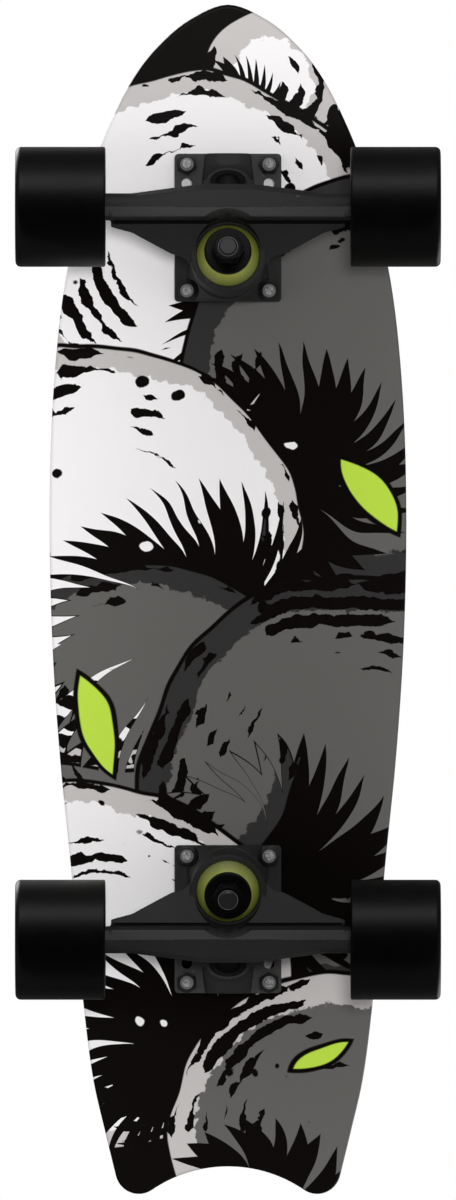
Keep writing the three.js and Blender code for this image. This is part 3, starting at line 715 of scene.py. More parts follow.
# A baseplate is an aluminium casting: a plate with a slanted boss for the kingpin and a hooded one for
# the pivot. It is drilled and spot-faced for the bolts, then painted satin black.
casting_voxel = 0.5 * mm
overrun = 6 * mm
plate_edge_round = 0.4 * mm
spot_face_depth = 0.1 * mm
plate_thickness = 5 * mm
ring_inset = 16 * mm
ring_drop = 41 * mm
pivot_outset = 23 * mm
kingpin_lean = math.radians(13)
steering_angle = math.radians(37)
pivot_mouth = (pivot_outset + ring_inset) / math.cos(steering_angle)
pivot_cup_radius = 8.3 * mm
pivot_cup_depth = 9 * mm
pivot_cup_end_radius = 4 * mm
pivot_cup_floor = 2 * mm
pivot_boss_width = 27 * mm
pivot_boss_end_width = 21.7 * mm
pivot_boss_wall = 4 * mm
pivot_boss_round = 4 * mm
pivot_boss_toe = 5 * mm
mouth_light_depth = 0.3 * mm
plate_light_length = 10 * mm
kingpin_boss_seat = 18.6 * mm
kingpin_boss_radius = 17 * mm
kingpin_boss_root_radius = 21.5 * mm
kingpin_radius = 4.75 * mm
kingpin_head_across_flats = 14.3 * mm
kingpin_head_low = 29.6 * mm
spot_face_radius = 6 * mm
fit_gap = 0.3 * mm
ring_middle = Matrix.Translation((0, -ring_inset, -ring_drop))
kingpin_line = ring_middle @ Matrix.Rotation(kingpin_lean, 4, "X")
steering_line = ring_middle @ Matrix.Rotation(steering_angle - math.pi / 2, 4, "X")
to_steering_line = steering_line.inverted()
quarter_turn = Matrix.Rotation(math.pi / 2, 4, "Z")


def steering_point(along, towards_deck):
    """Y and Z of a point by its distance along the steering axis and square to it."""
    point = steering_line @ Vector((0, -towards_deck, along))
    return point.y, point.z


def across_truck(side_view, width):
    """A body of one section across the truck, from its (y, z) corners."""
    return closed_rings([[(side * width / 2, y, z) for y, z in side_view] for side in (-1, 1)])


def hexagon(across_flats, low, high):
    """A hexagonal bar with corners on its X axis."""
    return rod(across_flats / 2 / math.cos(math.pi / 6), low, high, 6)


def domed(radius, end_radius, start, shoulder, height, steps=8):
    """The side of a rod whose end is domed, and flat where it has an end radius."""
    corners = [(0, start), (radius, start)]
    for step in range(steps + (end_radius > 0)):
        turn = math.pi / 2 * step / steps
        across = end_radius + (radius - end_radius) * math.cos(turn)
        corners.append((across, shoulder + height * math.sin(turn)))
    return [*corners, (0, shoulder + height)]


def pivot_cup_outside(grow, start):
    radius, end_radius = pivot_cup_radius + grow, pivot_cup_end_radius + grow
    shoulder = pivot_mouth + pivot_cup_depth / 3
    return domed(radius, end_radius, start, shoulder, pivot_mouth + pivot_cup_depth + grow - shoulder)


def mark(shape, name, level, parts="verts"):
    """Writes a level from 0 to 1 on each point, or each face's middle, for a finish to read."""
    layer = getattr(shape, parts).layers.float.new(name)
    for part in getattr(shape, parts):
        part[layer] = float(level(part.co if parts == "verts" else part.calc_center_median()))
    return shape


def from_0_to_1(value):
    return min(1, max(0, value))


def cast(shape, rounds, kept_share):
    """Shapes fused into one casting, with fillets where they meet and rounded edges."""
    worked = as_object("cast", shape)
    modify(worked, "REMESH", mode="VOXEL", voxel_size=casting_voxel)
    modify(worked, "SMOOTH", factor=0.5, iterations=rounds)
    modify(worked, "DECIMATE", ratio=kept_share)
    return evaluated(worked)


def satin_black_cast():
    """Satin black paint on a casting: fine orange peel, pale wear on sharp edges, a painted highlight and
    painted shade where a piece marks them, and painted shade in concave corners.
    """
    finish = Finish("satin_black_cast", Specular_IOR_Level=0.09)
    patches = finish.noise(18 * mm, 4)
    edges = finish.node("ShaderNodeNewGeometry", output="Pointiness")
    # Painted highlight: faces that a piece marks are painted a lighter grey, as if lit.
    paint = finish.mix(finish.mix(34, 42, patches), 60, finish.attribute("painted_light"))
    paint = finish.mix(paint, 76, edges.over(0.58, 0.1) * patches.over(0.45, 0.4))
    # Painted shade: concave corners, where Pointiness is low, are painted near black.
    paint = finish.mix(12, paint, edges.over(0.44, 0.08))
    # Painted shade: faces that a piece marks are painted near black.
    finish.feed("Base Color", finish.mix(paint, 11, finish.attribute("painted_shade")))
    finish.feed("Roughness", 0.5 + 0.2 * patches)
    finish.bump(finish.noise(0.8 * mm, 3, 0.6), 0.035 * mm)
    return finish


def baseplate():
    outline = rounded_rectangle(plate_width, plate_length, plate_corner)
    plate = slab(outline, -plate_thickness, 0, plate_edge_round)
    past_plate = ring_drop + overrun
    kingpin_boss = solid([
        (kingpin_boss_radius, kingpin_boss_seat),
        (kingpin_boss_root_radius, ring_drop), (kingpin_boss_root_radius, past_plate),
    ])
    kingpin_boss = carved(moved(kingpin_boss, kingpin_line), [slab(outline, -ring_drop, 0, 0)], "INTERSECT")

    # The hood over the pivot narrows from its mouth to the plate's end
    reach = pivot_cup_radius + pivot_boss_wall
    top, low = steering_point(pivot_mouth, reach), steering_point(pivot_mouth, -reach)
    end, past = plate_length / 2, 1 * mm
    wide, narrow = pivot_boss_width / 2, pivot_boss_end_width / 2
    taper = slab([
        Vector((-wide, top[0] - past)), Vector((wide, top[0] - past)),
        Vector((narrow, end + past)), Vector((-narrow, end + past)),
    ], -ring_drop, past, 0)
    barrel = solid([(wide, pivot_mouth, pivot_boss_round), (wide, pivot_mouth + plate_length / 2)])

    def tapered(first, second, *tools):
        block = across_truck([first, second, (end, 0), (top[0], 0), top], 2 * pivot_boss_width)
        return carved(block, [*tools, taper.copy()], "INTERSECT")

    hood = tapered(low, (end, low[1] + pivot_boss_toe), moved(barrel, steering_line))
    filling = tapered(steering_point(pivot_mouth, 0), (end, -plate_thickness))
    body = cast(joined(plate, kingpin_boss, hood, filling), rounds=8, kept_share=0.5)

    faces = [
        shifted(rod(spot_face_radius, -ring_drop, spot_face_depth - plate_thickness, 48), *place, 0)
        for place in bolt_places
    ]
    head_hole = hexagon(kingpin_head_across_flats + 2 * fit_gap, kingpin_head_low - fit_gap, past_plate)
    seat_mouth = pivot_cup_radius + 2.5 * fit_gap
    cup_seat = joined(
        turned(pivot_cup_outside(fit_gap, pivot_mouth - overrun), 48),
        solid([
            (seat_mouth + 1 * mm, pivot_mouth - 1 * mm), (seat_mouth - 0.6 * mm, pivot_mouth + 0.8 * mm),
        ], 48),
    )
    body = carved(body, [
        joined(*faces),
        joined(*plate_holes(-ring_drop, overrun)),
        moved(rod(kingpin_radius + fit_gap, 0, past_plate), kingpin_line),
        moved(head_hole, kingpin_line @ quarter_turn),
        moved(cup_seat, steering_line),
    ])

    # Painted light: the mouth's face, and the plate's face on the pivot's half fading in from the middle, are
    # painted lighter, as if lit.
    def painted_light(point):
        on_the_mouth = point.y > 0 and (to_steering_line @ point).z < pivot_mouth + mouth_light_depth
        on_the_plate = point.z > -plate_thickness - 0.2 * mm and from_0_to_1(point.y / plate_light_length)
        return max(on_the_mouth, on_the_plate)

    return mark(body, "painted_light", painted_light)


black_cast = satin_black_cast()
on_both_trucks("cast_baseplate", baseplate(), black_cast, "truck_metal", "baseplate")

# Eight countersunk bolts go down through grip, deck, riser and baseplate into lock nuts. They are
# zinc plated, with a hexagon socket and a rolled thread. The nuts are black and hold a grey nylon ring.
bolt_radius = 2.4 * mm
bolt_head_radius = 4.8 * mm
bolt_head_height = 2.8 * mm
bolt_head_edge = 0.4 * mm
bolt_socket_across_flats = 3.2 * mm
bolt_socket_depth = 2 * mm
bolt_thread_length = 13 * mm
bolt_pitch = 0.8 * mm
bolt_length = size_of("front_deck_bolt_1").z
nut_across_flats = 9.5 * mm
nut_height = size_of("front_deck_nut_1").z
nut_chamfer = math.radians(30)
collar_share = 0.25
collar_overlap = 0.2 * mm
nylon_sunk = 0.15 * mm
nylon_gap = 0.05 * mm
nylon_ring_radius = 3.3 * mm


def threaded(radius, low, high, pitch, chamfer, sides=24, steps=5):
    """A closed rod whose side is one helical V thread, with its two ends chamfered."""
    depth = 0.6 * pitch
    rings = []
    count = max(2, round((high - low) / pitch * steps))
    for i in range(count + 1):
        height = low + (high - low) * i / count
        limit = radius - max(0, chamfer - min(height - low, high - height))
        ring = []
        for side in range(sides):
            groove = abs(2 * ((height / pitch - side / sides) % 1) - 1)
            across = min(radius - depth * groove, limit)
            turn = 2 * math.pi * side / sides
            ring.append((across * math.cos(turn), across * math.sin(turn), height))
        rings.append(ring)
    return closed_rings(rings)


def chamfered_hexagon(across_flats, low, high):
    """A hexagon whose corners are taken off by a cone at both of its ends.

    The cone's number of sides is odd, so that none of its edges meets a corner of the hexagon.
    """
    face_radius, past, past_end = 0.48 * across_flats, 0.2 * across_flats, 0.1 * mm
    drop = past * math.tan(nut_chamfer)
    start = face_radius - past_end / math.tan(nut_chamfer)
    cone = solid([
        (start, low - past_end), (face_radius + past, low + drop),
        (face_radius + past, high - drop), (start, high + past_end),
    ], 61)
    return carved(hexagon(across_flats, low, high), [cone], "INTERSECT")


def lock_nut(across_flats, height, bore_radius, ring_radius):
    """A hexagon nut under Z = 0 whose round collar, at its low end, holds a nylon ring."""
    collar = collar_share * height
    body = chamfered_hexagon(across_flats, collar - height, 0)
    inside = tube(bore_radius, ring_radius, -height + nylon_sunk, -height + collar, sides=48)
    over_ring, collar_top = ring_radius + nylon_gap, -height + collar + collar_overlap
    cover = turned([
        (over_ring, -height, 0.2 * mm), (across_flats / 2 - fit_gap, -height, 0.5 * mm),
        (across_flats / 2 - fit_gap, collar_top), (over_ring, collar_top),
    ], 48)
    body = carved(body, [rod(bore_radius, -2 * height, height, 48)])
    ring_edge, ring_top = ring_radius + nylon_gap / 2, collar - height + collar_overlap / 2
    whole = joined(body, cover, inside)
    return mark(whole, "nylon", lambda point: point.xy.length < ring_edge and point.z < ring_top)


def oxidised_steel(name, darkest, lightest):
    """Black oxide on steel, worn to bare metal in places, and a grey nylon ring in the nuts."""
    finish = Finish(name, Specular_IOR_Level=0.3)
    scuffs = finish.noise(1.6 * mm, 5, 0.7)
    nylon = finish.attribute("nylon")
    oxide = finish.mix(darkest, lightest, scuffs)
    finish.feed("Base Color", finish.mix(oxide, finish.mix(86, 122, scuffs), nylon))
    finish.feed("Metallic", 0.75 * (1 - nylon))
    finish.feed("Roughness", 0.4 + 0.25 * scuffs)
    finish.bump(finish.noise(0.25 * mm, 3), 0.012 * mm)
    return finish


def scuffed_zinc():
    """The bolts' zinc, dulled and scuffed by hand tools, so that it scatters most of its light."""
    finish = Finish("scuffed_zinc", Metallic=0.4, Roughness=0.45)
    scuffs = finish.noise(1.1 * mm, 5, 0.7)
    finish.feed("Base Color", finish.mix(104, 182, scuffs.over(0.5, 0.3)))
    finish.bump(scuffs, 0.04 * mm)
    return finish


def at_the_bolts(shape, height, seed):
    """Eight copies of a shape in one body, four at each truck, and each turned by chance."""
    tree = bpy.data.node_groups.new("copies", "GeometryNodeTree")
    for label, way in (("Trucks", "INPUT"), ("Fasteners", "OUTPUT")):
        tree.interface.new_socket(label, in_out=way, socket_type="NodeSocketGeometry")
    add = Nodes(tree).node

    def real_copies(**sockets):
        copies = add("GeometryNodeInstanceOnPoints", inputs=sockets)
        return add("GeometryNodeRealizeInstances", inputs={0: copies})

    trucks = bmesh.new()
    for end in ends:
        trucks.verts.new(truck_place(end) @ Vector((0, 0, height)))
    host, copied = as_object("trucks", trucks), as_object("copied", shape)
    four = add("GeometryNodeMeshGrid", inputs={
        "Size X": bolt_across, "Size Y": bolt_along, "Vertices X": 2, "Vertices Y": 2,
    })
    places = real_copies(Points=add("NodeGroupInput"), Instance=four)
    largest_turn = 3
    chance = add("FunctionNodeRandomValue", inputs={largest_turn: math.tau, "Seed": seed}, output=1)
    turn = add("ShaderNodeCombineXYZ", inputs={"Z": chance})
    piece = add("GeometryNodeObjectInfo", inputs={"Object": copied}, output="Geometry")
    eight = real_copies(Points=places, Instance=piece, Rotation=turn)
    add("NodeGroupOutput", inputs={"Fasteners": eight})
    modify(host, "NODES", node_group=tree)
    made = evaluated(host)
    bpy.data.objects.remove(copied)
    return made


def deck_bolt():
    """A bolt with the top of its head at Z = 0: head, shank and thread."""
    thread_top = bolt_thread_length - bolt_length
    upper = solid([
        (bolt_radius, thread_top), (bolt_radius, -bolt_head_height, 0.3 * mm),
        (bolt_head_radius, -bolt_head_edge), (bolt_head_radius, 0, 0.2 * mm),
    ], 48)
    upper = carved(upper, [hexagon(bolt_socket_across_flats, -bolt_socket_depth, past_surface)])
    return joined(upper, threaded(bolt_radius, -bolt_length, thread_top, bolt_pitch, 0.5 * mm))


oxide_steel = oxidised_steel("blackened_steel", 3, 12)
bolts = at_the_bolts(deck_bolt(), riser_thickness + grip_top, seed=3)
fitted("deck_bolts", bolts, scuffed_zinc(), "steel", "board", *nodes_of("deck_bolt"))
nut = lock_nut(nut_across_flats, nut_height, bolt_radius, nylon_ring_radius)
nuts = at_the_bolts(nut, -plate_thickness - fit_gap, seed=8)
nut_steel = oxidised_steel("nut_steel", 30, 56)
fitted("deck_nuts", nuts, nut_steel, "black_hardware", "board", *nodes_of("deck_nut"))

# A pivot cup is a small urethane liner pressed into the baseplate. The hanger's nose turns in it.
pivot_nose_radius = 5.8 * mm
pivot_nose_end = pivot_mouth + pivot_cup_depth - pivot_cup_floor - fit_gap
pivot_nose_length = 14 * mm


def pivot_nose_line(grow, start):
    radius = pivot_nose_radius + grow
    return domed(radius, 0, start, pivot_nose_end + grow - radius, radius)


def pivot_cup():
    cup = turned(pivot_cup_outside(0, pivot_mouth), 48)
    cup = carved(cup, [turned(pivot_nose_line(fit_gap, pivot_mouth - overrun), 48)])
    return moved(cup, steering_line)


on_both_trucks("urethane_pivot_cup", pivot_cup(), rubber, "pivot_plastic", "pivot_cup")

# The kingpin is a grade 8 bolt that hangs from the baseplate. Two lime urethane bushings sit on it, one
# on each side of the hanger's ring. Stamped cup washers hold their tips, and a lock nut clamps them.
bushing_radius = 15.8 * mm
# Seat, tip and tip radius of each bushing, and the outer and inner face of its cup washer
stacks = {
    "board": ((2.8 * mm, 16.8 * mm, 12.9 * mm), (18.3 * mm, 17.1 * mm)),
    "road": ((-2.8 * mm, -14.8 * mm, 10.3 * mm), (-16.3 * mm, -15.1 * mm)),
}
seat_bore_radius = 7.2 * mm
cup_thickness = 1.2 * mm
cup_rim = 1.8 * mm
hanger_ring_height = 12 * mm
kingpin_head_height = 6 * mm
kingpin_nut_top = -16.6 * mm
kingpin_nut_height = 8 * mm
kingpin_end = -26 * mm
kingpin_thread_length = 14 * mm
kingpin_pitch = 1.06 * mm
kingpin_nylon_radius = 5 * mm


def kingpin():
    head = chamfered_hexagon(kingpin_head_across_flats, 0, kingpin_head_height)
    head = moved(head, Matrix.Translation((0, 0, kingpin_head_low)) @ quarter_turn)
    thread_top = kingpin_end + kingpin_thread_length
    shank = rod(kingpin_radius, thread_top, kingpin_head_low, 48)
    thread = threaded(kingpin_radius, kingpin_end, thread_top, kingpin_pitch, 0.9 * mm, 40)
    return moved(joined(head, shank, thread), kingpin_line)


def bushing(seat, tip, tip_radius):
    """A cone that ends in a straight tip. Its bore widens towards its seat, and its colour gets a painted
    shade that deepens towards the seat.

    With it come the points where its washer holds it and where the hanger's ring carries it along.
    """
    way = math.copysign(1, tip)
    held, carried = tip - way * (cup_rim + fit_gap), way * hanger_ring_height / 2
    corners = [
        (seat_bore_radius, seat), (bushing_radius, seat, 0.4 * mm), (bushing_radius, carried, 1.5 * mm),
        (tip_radius, held, 0.8 * mm), (tip_radius, tip, 0.5 * mm), (kingpin_radius + fit_gap, tip),
    ]
    cone = turned(corners if way > 0 else corners[::-1])
    bare = abs(tip) - cup_rim
    shade_span = bare - hanger_ring_height / 2
    # Painted shade: nothing at the washer's rim, rising to full at the face of the hanger's ring and beyond.
    mark(cone, "pocket_shade", lambda point: from_0_to_1((bare - abs(point.z)) / shade_span))
    return moved(cone, kingpin_line), [kingpin_line @ Vector((0, 0, height)) for height in (held, carried)]


def cup_washer(tip_radius, outer_face, inner_face):
    """A stamped cup whose rim goes round a bushing's tip."""
    way = math.copysign(1, inner_face - outer_face)
    bore, inside, rim = kingpin_radius + fit_gap, tip_radius + fit_gap, inner_face + way * cup_rim
    corners = [
        (bore, outer_face, 0.2 * mm), (inside + cup_thickness, outer_face, 0.9 * mm),
        (inside + cup_thickness, rim, 0.3 * mm), (inside, rim, 0.3 * mm),
        (inside, inner_face, 0.3 * mm), (bore, inner_face, 0.2 * mm),
    ]
    return moved(turned(corners if way > 0 else corners[::-1]), kingpin_line)


def lime_urethane():
    """Cast urethane in yellow-green: waxy, a little translucent, and darkened by painted shade towards the
    hanger's ring.
    """
    finish = Finish("lime_urethane", Roughness=0.38, Subsurface_Weight=0.25, Subsurface_Scale=2 * mm)
    finish.feed("Subsurface Radius", (1.0, 1.0, 0.4))
    clouds = finish.noise(5 * mm, 3)
    unshaded = finish.mix((146, 152, 66), (168, 176, 78), clouds)
    # Painted shade, broken into patches, darkens the lime towards the ring.
    pocket_shade = finish.attribute("pocket_shade") * clouds.over(0.1, 0.5)
    finish.feed("Base Color", finish.mix(unshaded, (84, 90, 28), pocket_shade))
    finish.bump(finish.noise(1.2 * mm), 0.03 * mm)
    return finish


lime = lime_urethane()
on_both_trucks("steel_kingpin", kingpin(), oxidised_steel("kingpin_steel", 38, 60), "steel", "kingpin")
for side, (sizes, faces) in stacks.items():
    cup = cup_washer(sizes[-1], *faces)
    on_both_trucks(f"{side}_side_cup", cup, oxide_steel, "black_hardware", f"{side}_side_cup_washer")
for side, (sizes, _) in stacks.items():
    cone, bends = bushing(*sizes)
    node = f"{side}_side_bushing"
    on_both_trucks(f"{side}_side_urethane", cone, lime, "bushing_urethane", node, bends=bends)
kingpin_nut = lock_nut(kingpin_head_across_flats, kingpin_nut_height, kingpin_radius, kingpin_nylon_radius)
moved(kingpin_nut, kingpin_line @ Matrix.Translation((0, 0, kingpin_nut_top)))
on_both_trucks("clamping_nut", kingpin_nut, oxide_steel, "black_hardware", "kingpin_nut")

# A hanger is the cast body that carries the axle. A ridged housing runs along the axle, a flat web
# joins it to the ring round the bushings, and a neck ends in the nose that turns in the pivot cup.
axle_outset = 9.5 * mm
truck_height = 53 * mm
hanger_width = 139.7 * mm
axle_boss_radius = 6.8 * mm
axle_radius = 4 * mm
housing_ridge = 5.3 * mm
# Half-width of each station along the housing, then its reach outwards, drop and rise from the axle
housing_stations = [
    (58.5 * mm, 5.5 * mm, 6.6 * mm, 5.5 * mm),
    (27 * mm, 9.7 * mm, 9 * mm, 9 * mm),
    (13 * mm, 11.5 * mm, 9 * mm, 9 * mm),
]
housing_section = [
    (-1, -0.5), (-0.97, -0.96), (-0.9, -1), (-0.04, -1), (0.75, -0.62), (1, 0), (0.8, 0.7), (0.1, 1),
    (-1, 0.7),
]
# Half-width and reach inwards of each corner of the web
web_corners = [
    (58.5 * mm, 0), (58.5 * mm, 10 * mm), (48 * mm, 13.1 * mm), (35 * mm, 20.8 * mm),
    (28.5 * mm, 24.6 * mm), (22.8 * mm, 26.4 * mm), (15 * mm, 34 * mm),
]
web_thickness = 6 * mm
ring_wall = 2.6 * mm
ring_seat_radius = bushing_radius + fit_gap
ring_radius = ring_seat_radius + ring_wall
ring_web_thickness = 5 * mm
kingpin_clearance_radius = 6.25 * mm
pocket_radius = 17.2 * mm
pocket_mouth_radius = 19.3 * mm
pocket_straight_depth = 9 * mm
pocket_taper_depth = 8.5 * mm
neck_radius = 8 * mm
neck_start = 14 * mm
neck_taper_length = 18 * mm
bridge_width = 22 * mm
groove_radius = 1.6 * mm
groove_inset = 7.2 * mm
groove_drop = 0.2 * mm
ridge_light_depth = 1.6 * mm
neck_shade_start = 5 * mm
axle_middle = Matrix.Translation((0, axle_outset, -truck_height))
along_x = Matrix.Rotation(math.pi / 2, 4, "Y")


def housing():
    rings = []
    for x, reach, drop, rise in [(-x, *sizes) for x, *sizes in housing_stations] + housing_stations[::-1]:
        ring = []
        for out, up in housing_section:
            y = axle_outset + out * (reach if out > 0 else housing_ridge)
            ring.append((x, y, -truck_height + up * (rise if up > 0 else drop)))
        rings.append(ring)
    return closed_rings(rings)


def hanger():
    web = [Vector(corner) for corner in web_corners]
    web = slab(web + mirrored(web), -web_thickness / 2, web_thickness / 2, 0)
    slope = math.atan2(truck_height - ring_drop, axle_outset + ring_inset)
    web = moved(web, axle_middle @ Matrix.Rotation(math.pi - slope, 4, "X"))
    boss = moved(rod(axle_boss_radius, -hanger_width / 2, hanger_width / 2, 64), axle_middle @ along_x)
    half_ring = hanger_ring_height / 2
    ring = moved(rod(ring_radius, -half_ring, half_ring, 96), kingpin_line)
    nose_start = pivot_nose_end - pivot_nose_length
    taper_start = nose_start - neck_taper_length
    neck = turned([
        (0, neck_start), (neck_radius, neck_start), (neck_radius, taper_start),
        *pivot_nose_line(0, nose_start)[1:],
    ])
    _, reach, drop, _ = housing_stations[-1]
    bridge = across_truck([
        steering_point(neck_start, 0),
        (axle_outset - housing_ridge, -truck_height),
        (axle_outset, -truck_height - drop / 2),
        (axle_outset + reach - fit_gap, -truck_height),
        (axle_outset + reach - fit_gap, -ring_drop),
        steering_point(taper_start, fit_gap - neck_radius),
        steering_point(taper_start, 0),
    ], bridge_width)
    whole = joined(housing(), boss, web, ring, bridge, moved(neck, steering_line))
    body = cast(whole, rounds=6, kept_share=0.4)

    straight = -half_ring - pocket_straight_depth
    seats = [
        solid([
            (pocket_mouth_radius, -truck_height), (pocket_mouth_radius, straight - pocket_taper_depth),
            (pocket_radius, straight), (pocket_radius, -half_ring),
        ], 96),
        rod(ring_seat_radius, ring_web_thickness / 2, ring_drop, 96),
        rod(ring_seat_radius, -hanger_ring_height, -ring_web_thickness / 2, 96),
        rod(kingpin_clearance_radius, -hanger_ring_height, hanger_ring_height, 48),
    ]
    bore = moved(rod(axle_radius + fit_gap, -hanger_width, hanger_width), axle_middle @ along_x)
    end, _, end_drop, _ = housing_stations[0]
    foot = axle_middle @ Matrix.Translation((0, -groove_inset, -groove_drop))
    groove = moved(rod(groove_radius, groove_radius - end, end - groove_radius, 24), foot @ along_x)
    body = carved(body, [moved(seat, kingpin_line) for seat in seats] + [bore, groove])
    ridge = Vector((axle_outset - housing_ridge / 2, -truck_height - end_drop))
    groove_foot = foot.translation.yz

    # Painted highlight: the flat of the housing's ridge is painted lighter, as if it caught the light.
    def painted_light(point):
        return abs(point.y - ridge.x) < 0.46 * housing_ridge and point.z < ridge.y + ridge_light_depth

    # Painted shade: the groove at the foot of the ridge, and the neck from a little past its taper's start to
    # the nose, are painted dark.
    def painted_shade(point):
        in_the_groove = (point.yz - groove_foot).length < groove_radius + 0.02 * mm
        return in_the_groove or (to_steering_line @ point).z > taper_start + neck_shade_start

    return mark(mark(body, "painted_light", painted_light), "painted_shade", painted_shade, "faces")


on_both_trucks("cast_hanger", hanger(), black_cast, "truck_metal", "hanger", "truck")

# The axle is one steel rod, pressed through the hanger and threaded at both ends. A wheel turns on its
# bearings between two thin washers, with a spacer inside it and a lock nut outside.
axle_thread_length = 11 * mm
axle_pitch = 1.06 * mm
axle_end = size_of("front_axle").x / 2
axle_nut_across_flats = 13 * mm
axle_nylon_radius = 4.9 * mm
axle_bore_radius = axle_radius + fit_gap
spacer_radius = 5.3 * mm
speed_washer_thickness = 1 * mm
speed_washer_radius = 5.9 * mm
axle_line = axle_middle @ along_x
hubs = [(f"{end}_{side}", f"{end}_truck", way) for end in ends for side, way in (("left", 1), ("right", -1))]


def axle():
    inner = axle_end - axle_thread_length
    shape = joined(
        rod(axle_radius, -inner, inner, 48),
        threaded(axle_radius, inner, axle_end, axle_pitch, 0.8 * mm, 32),
        threaded(axle_radius, -axle_end, -inner, axle_pitch, 0.8 * mm, 32),
    )
    return moved(shape, axle_line)


def on_axle(shape, place, way=1):
    """A shape moved to a place on an axle, with its own axis turned outwards or inwards."""
    return moved(shape, Matrix.Translation(place) @ Matrix.Rotation(way * math.pi / 2, 4, "Y"))


# Zinc plated steel has a soft grey sheen, with fine turning lines and a little clouding
grey_zinc = clouded(
    "zinc_steel", (120, 156), (3 * mm, 5, 0.6), (0.3, 0.2), (0.2 * mm, 3, 0.01 * mm), Metallic=0.9,
)
on_both_trucks("steel_axle", axle(), grey_zinc, "steel", "axle", "truck")
for hub, truck, way in hubs:
    low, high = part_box(f"{hub}_axle_nut")
    middle = (low + high) / 2
    inner_face = Vector((low.x if way > 0 else high.x, middle.y, middle.z))
    nut = lock_nut(axle_nut_across_flats, high.x - low.x, axle_radius, axle_nylon_radius)
    nut = on_axle(nut, inner_face, -way)
    fitted(f"{hub}_lock_nut", nut, oxide_steel, "black_hardware", truck, f"{hub}_axle_nut")

    spacer = f"{hub}_bearing_spacer"
    half = size_of(spacer).x / 2
    shape = tube(axle_bore_radius, spacer_radius, -half, half, 0.2 * mm, 0.3 * mm, 40)
    shape = on_axle(shape, middle_of(spacer))
    fitted(f"{hub}_spacer_tube", shape, grey_zinc, "steel", truck, spacer)

    inner_box, outer_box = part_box(f"{hub}_inner_bearing"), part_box(f"{hub}_outer_bearing")
    faces = (inner_box[0].x, outer_box[1].x) if way > 0 else (outer_box[0].x, inner_box[1].x)
    discs = []
    for face, out in zip(faces, (-1, 1)):
        disc = tube(
            axle_bore_radius, speed_washer_radius, fit_gap, fit_gap + speed_washer_thickness,
            0, 0.15 * mm, 40,
        )
        discs.append(on_axle(disc, Vector((face, middle.y, middle.z)), out))
    fitted(f"{hub}_speed_washers", joined(*discs), grey_zinc, "steel", truck)

# A wheel is black urethane, cast round a hard core and turned on a lathe: a flat tread, rounded lips and
# a stepped recess on each face. Two shielded ball bearings are pressed into its core.
outer_lip_round = 2.6 * mm
inner_lip_round = 1 * mm
wheel_dish = 2 * mm
recess_radius = 13 * mm
recess_mouth_radius = 17 * mm
recess_chamfer = 4 * mm
bearing_radius = 11 * mm
bearing_seat_gap = 0.3 * mm
core_hole_radius = 8.5 * mm
race_inner_edge = 6.2 * mm
race_outer_edge = 9.2 * mm
shield_depth = 0.45 * mm


def shielded_bearing():
    """Ground steel races, and a black shield between them."""
    finish = Finish("shielded_bearing")
    shield = finish.attribute("shield")
    clouds = finish.noise(1.5 * mm, 4)
    finish.feed("Base Color", finish.mix(finish.mix(150, 190, clouds), 24, shield))
    finish.feed("Metallic", 1 - shield)
    finish.feed("Roughness", 0.22 + 0.12 * clouds + 0.2 * shield)
    finish.bump(finish.noise(0.2 * mm), 0.006 * mm)
    return finish


def below(corners):
    """The same corners under Z = 0, in the opposite order."""
    return [(radius, -height, *rest) for radius, height, *rest in reversed(corners)]


def wheel(size, bearing_in, bearing_out):
    """A wheel whose outer face is at the upper end of its axis."""
    face, tread = size.x / 2, size.y / 2
    seat, recess_floor = bearing_radius + bearing_seat_gap, bearing_out + fit_gap
    dish = face - wheel_dish
    far = [
        (tread, face, outer_lip_round), (0.8 * tread, face, 6 * mm),
        (recess_mouth_radius, dish, 1 * mm), (recess_radius, dish - recess_chamfer, 1 * mm),
        (recess_radius, recess_floor, 0.4 * mm), (seat, recess_floor, 0.3 * mm),
        (seat, bearing_in - fit_gap), (core_hole_radius, bearing_in - fit_gap),
    ]
    return turned([*below(far[1:]), (tread, -face, inner_lip_round), *far], 128)


def bearing(width):
    half = width / 2
    inset = half - shield_depth
    far = [
        (bearing_radius, half, 0.4 * mm), (race_outer_edge, half, 0.1 * mm), (race_outer_edge, inset),
        (race_inner_edge, inset), (race_inner_edge, half, 0.1 * mm), (axle_bore_radius, half, 0.25 * mm),
    ]
    shield = half - 0.9 * shield_depth
    shape = turned([*below(far), *far])
    return mark(shape, "shield", lambda point: abs(point.z) < shield and point.xy.length < 10 * mm)


# Black cast urethane is near black and smooth, with faint lathe lines and a trace of dust
wheel_black = clouded(
    "black_urethane", (2, 8), (9 * mm, 5, 0.65), (0.36, 0.14), (0.35 * mm, 2, 0.012 * mm),
    stretch=(1, 0.02, 0.02), Specular_IOR_Level=0.09,
)
bearing_steel = shielded_bearing()
for hub, _, way in hubs:
    middle = middle_of(f"{hub}_wheel")
    bearings = {which: f"{hub}_{which}_bearing" for which in ("inner", "outer")}
    reaches = [abs(end.x - middle.x) for node in bearings.values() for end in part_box(node)]
    tyre = on_axle(wheel(size_of(f"{hub}_wheel"), min(reaches), max(reaches)), middle, way)
    fitted(f"{hub}_urethane", tyre, wheel_black, "wheel_urethane", f"{hub}_wheel", f"{hub}_wheel")
    for which, node in bearings.items():
        races = on_axle(bearing(size_of(node).x), middle_of(node))
        fitted(f"{hub}_{which}_races", races, bearing_steel, "steel", f"{hub}_wheel", node)

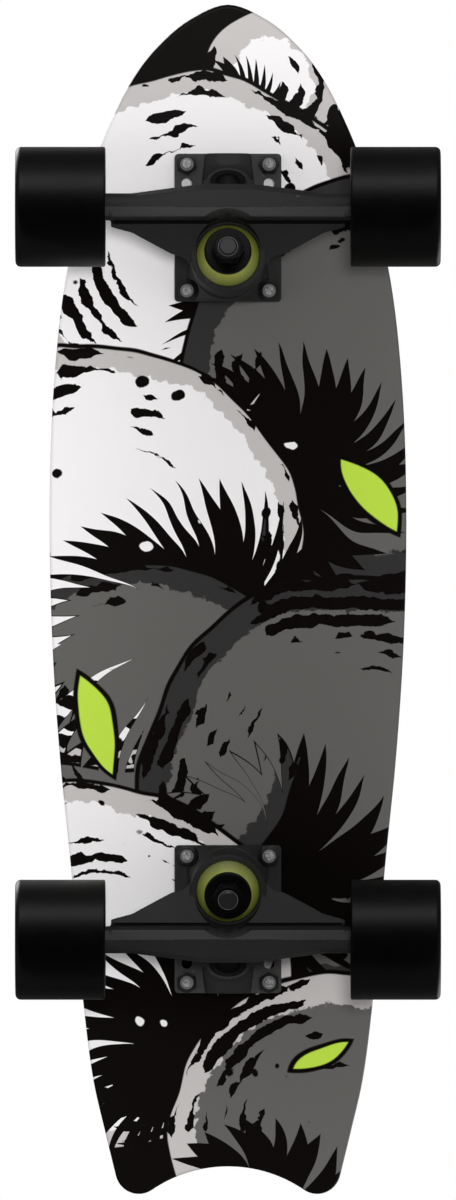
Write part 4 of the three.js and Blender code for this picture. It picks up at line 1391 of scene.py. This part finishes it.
# Ground, world, lamps and camera. The ground is a pale sheet that only its upper side shows, so that
# the board can be looked at from below, as the photograph does.
shape = bmesh.new()
bmesh.ops.create_grid(shape, x_segments=1, y_segments=1, size=30)
ground = as_object("ground", shape)
sheet = Finish("pale_ground", Roughness=0.8, Specular_IOR_Level=0.1)
sheet.feed("Base Color", tint(226))
back = sheet.node("ShaderNodeNewGeometry", output="Backfacing")
clear = sheet.node("ShaderNodeBsdfTransparent")
shown = Wire(sheet, sheet.shader.outputs[0])
both = sheet.node("ShaderNodeMixShader", inputs={0: back, 1: shown, 2: clear})
sheet.plug(sheet.tree.nodes["Material Output"].inputs["Surface"], both)
ground.data.materials.append(sheet.material)
ground.visible_shadow = False

# The world is white to the camera and through clear sheets, and dim as a light and in reflections
world = bpy.data.worlds.new("studio")
bpy.context.scene.world = world
world.use_nodes = True
sky = Nodes(world.node_tree)
strength, reflected = 0.2, 0.15
for ray, level in (("Is Camera Ray", 1), ("Is Transmission Ray", 1), ("Is Glossy Ray", reflected)):
    inputs = {"Factor": sky.node("ShaderNodeLightPath", output=ray), "A": strength, "B": level}
    strength = sky.node("ShaderNodeMix", inputs=inputs)
background = sky.tree.nodes["Background"]
sky.plug(background.inputs["Strength"], strength)
sky.plug(background.inputs["Color"], (1, 1, 1, 1))


def softbox(name, place, aim, width, height, power, mirrored=True, lights=True):
    lamp = bpy.data.lights.new(name, "AREA")
    with_values(lamp, shape="RECTANGLE", size=width, size_y=height, energy=power)
    made = bpy.data.objects.new(name, lamp)
    turn = (Vector(aim) - Vector(place)).to_track_quat("-Z", "Y").to_euler()
    with_values(made, location=place, rotation_euler=turn, visible_glossy=mirrored, visible_diffuse=lights)
    bpy.context.scene.collection.objects.link(made)


middle = (0, 0, 60 * mm)
softbox("strip_below", (0, -2.3, -1.9), middle, 2.0, 0.5, 64, lights=False)
softbox("key_below", (0.3, -0.4, -6), middle, 0.8, 0.8, 190, mirrored=False)
softbox("fill_below_left", (2.4, 0.6, -1.6), middle, 1.0, 1.6, 6)
softbox("fill_below_right", (-2.4, 0.6, -1.6), middle, 1.0, 1.6, 6)
softbox("key_above", (-1.4, -1.6, 2.6), middle, 1.6, 1.6, 84)
softbox("fill_above", (1.8, 1.4, 2.0), middle, 1.8, 1.8, 42)

lens = with_values(bpy.data.cameras.new("camera"), sensor_width=36, lens=620, clip_end=100)
camera = bpy.data.objects.new("camera", lens)
photo_height = 1200
metres_per_pixel = 0.5025 * mm
distance = photo_height * metres_per_pixel * lens.lens / lens.sensor_width
with_values(camera, location=(0, 0, deck_under_z - distance), rotation_euler=(math.pi, 0, 0))
bpy.context.scene.collection.objects.link(camera)
bpy.context.scene.camera = camera
bpy.context.scene.view_settings.view_transform = "Standard"
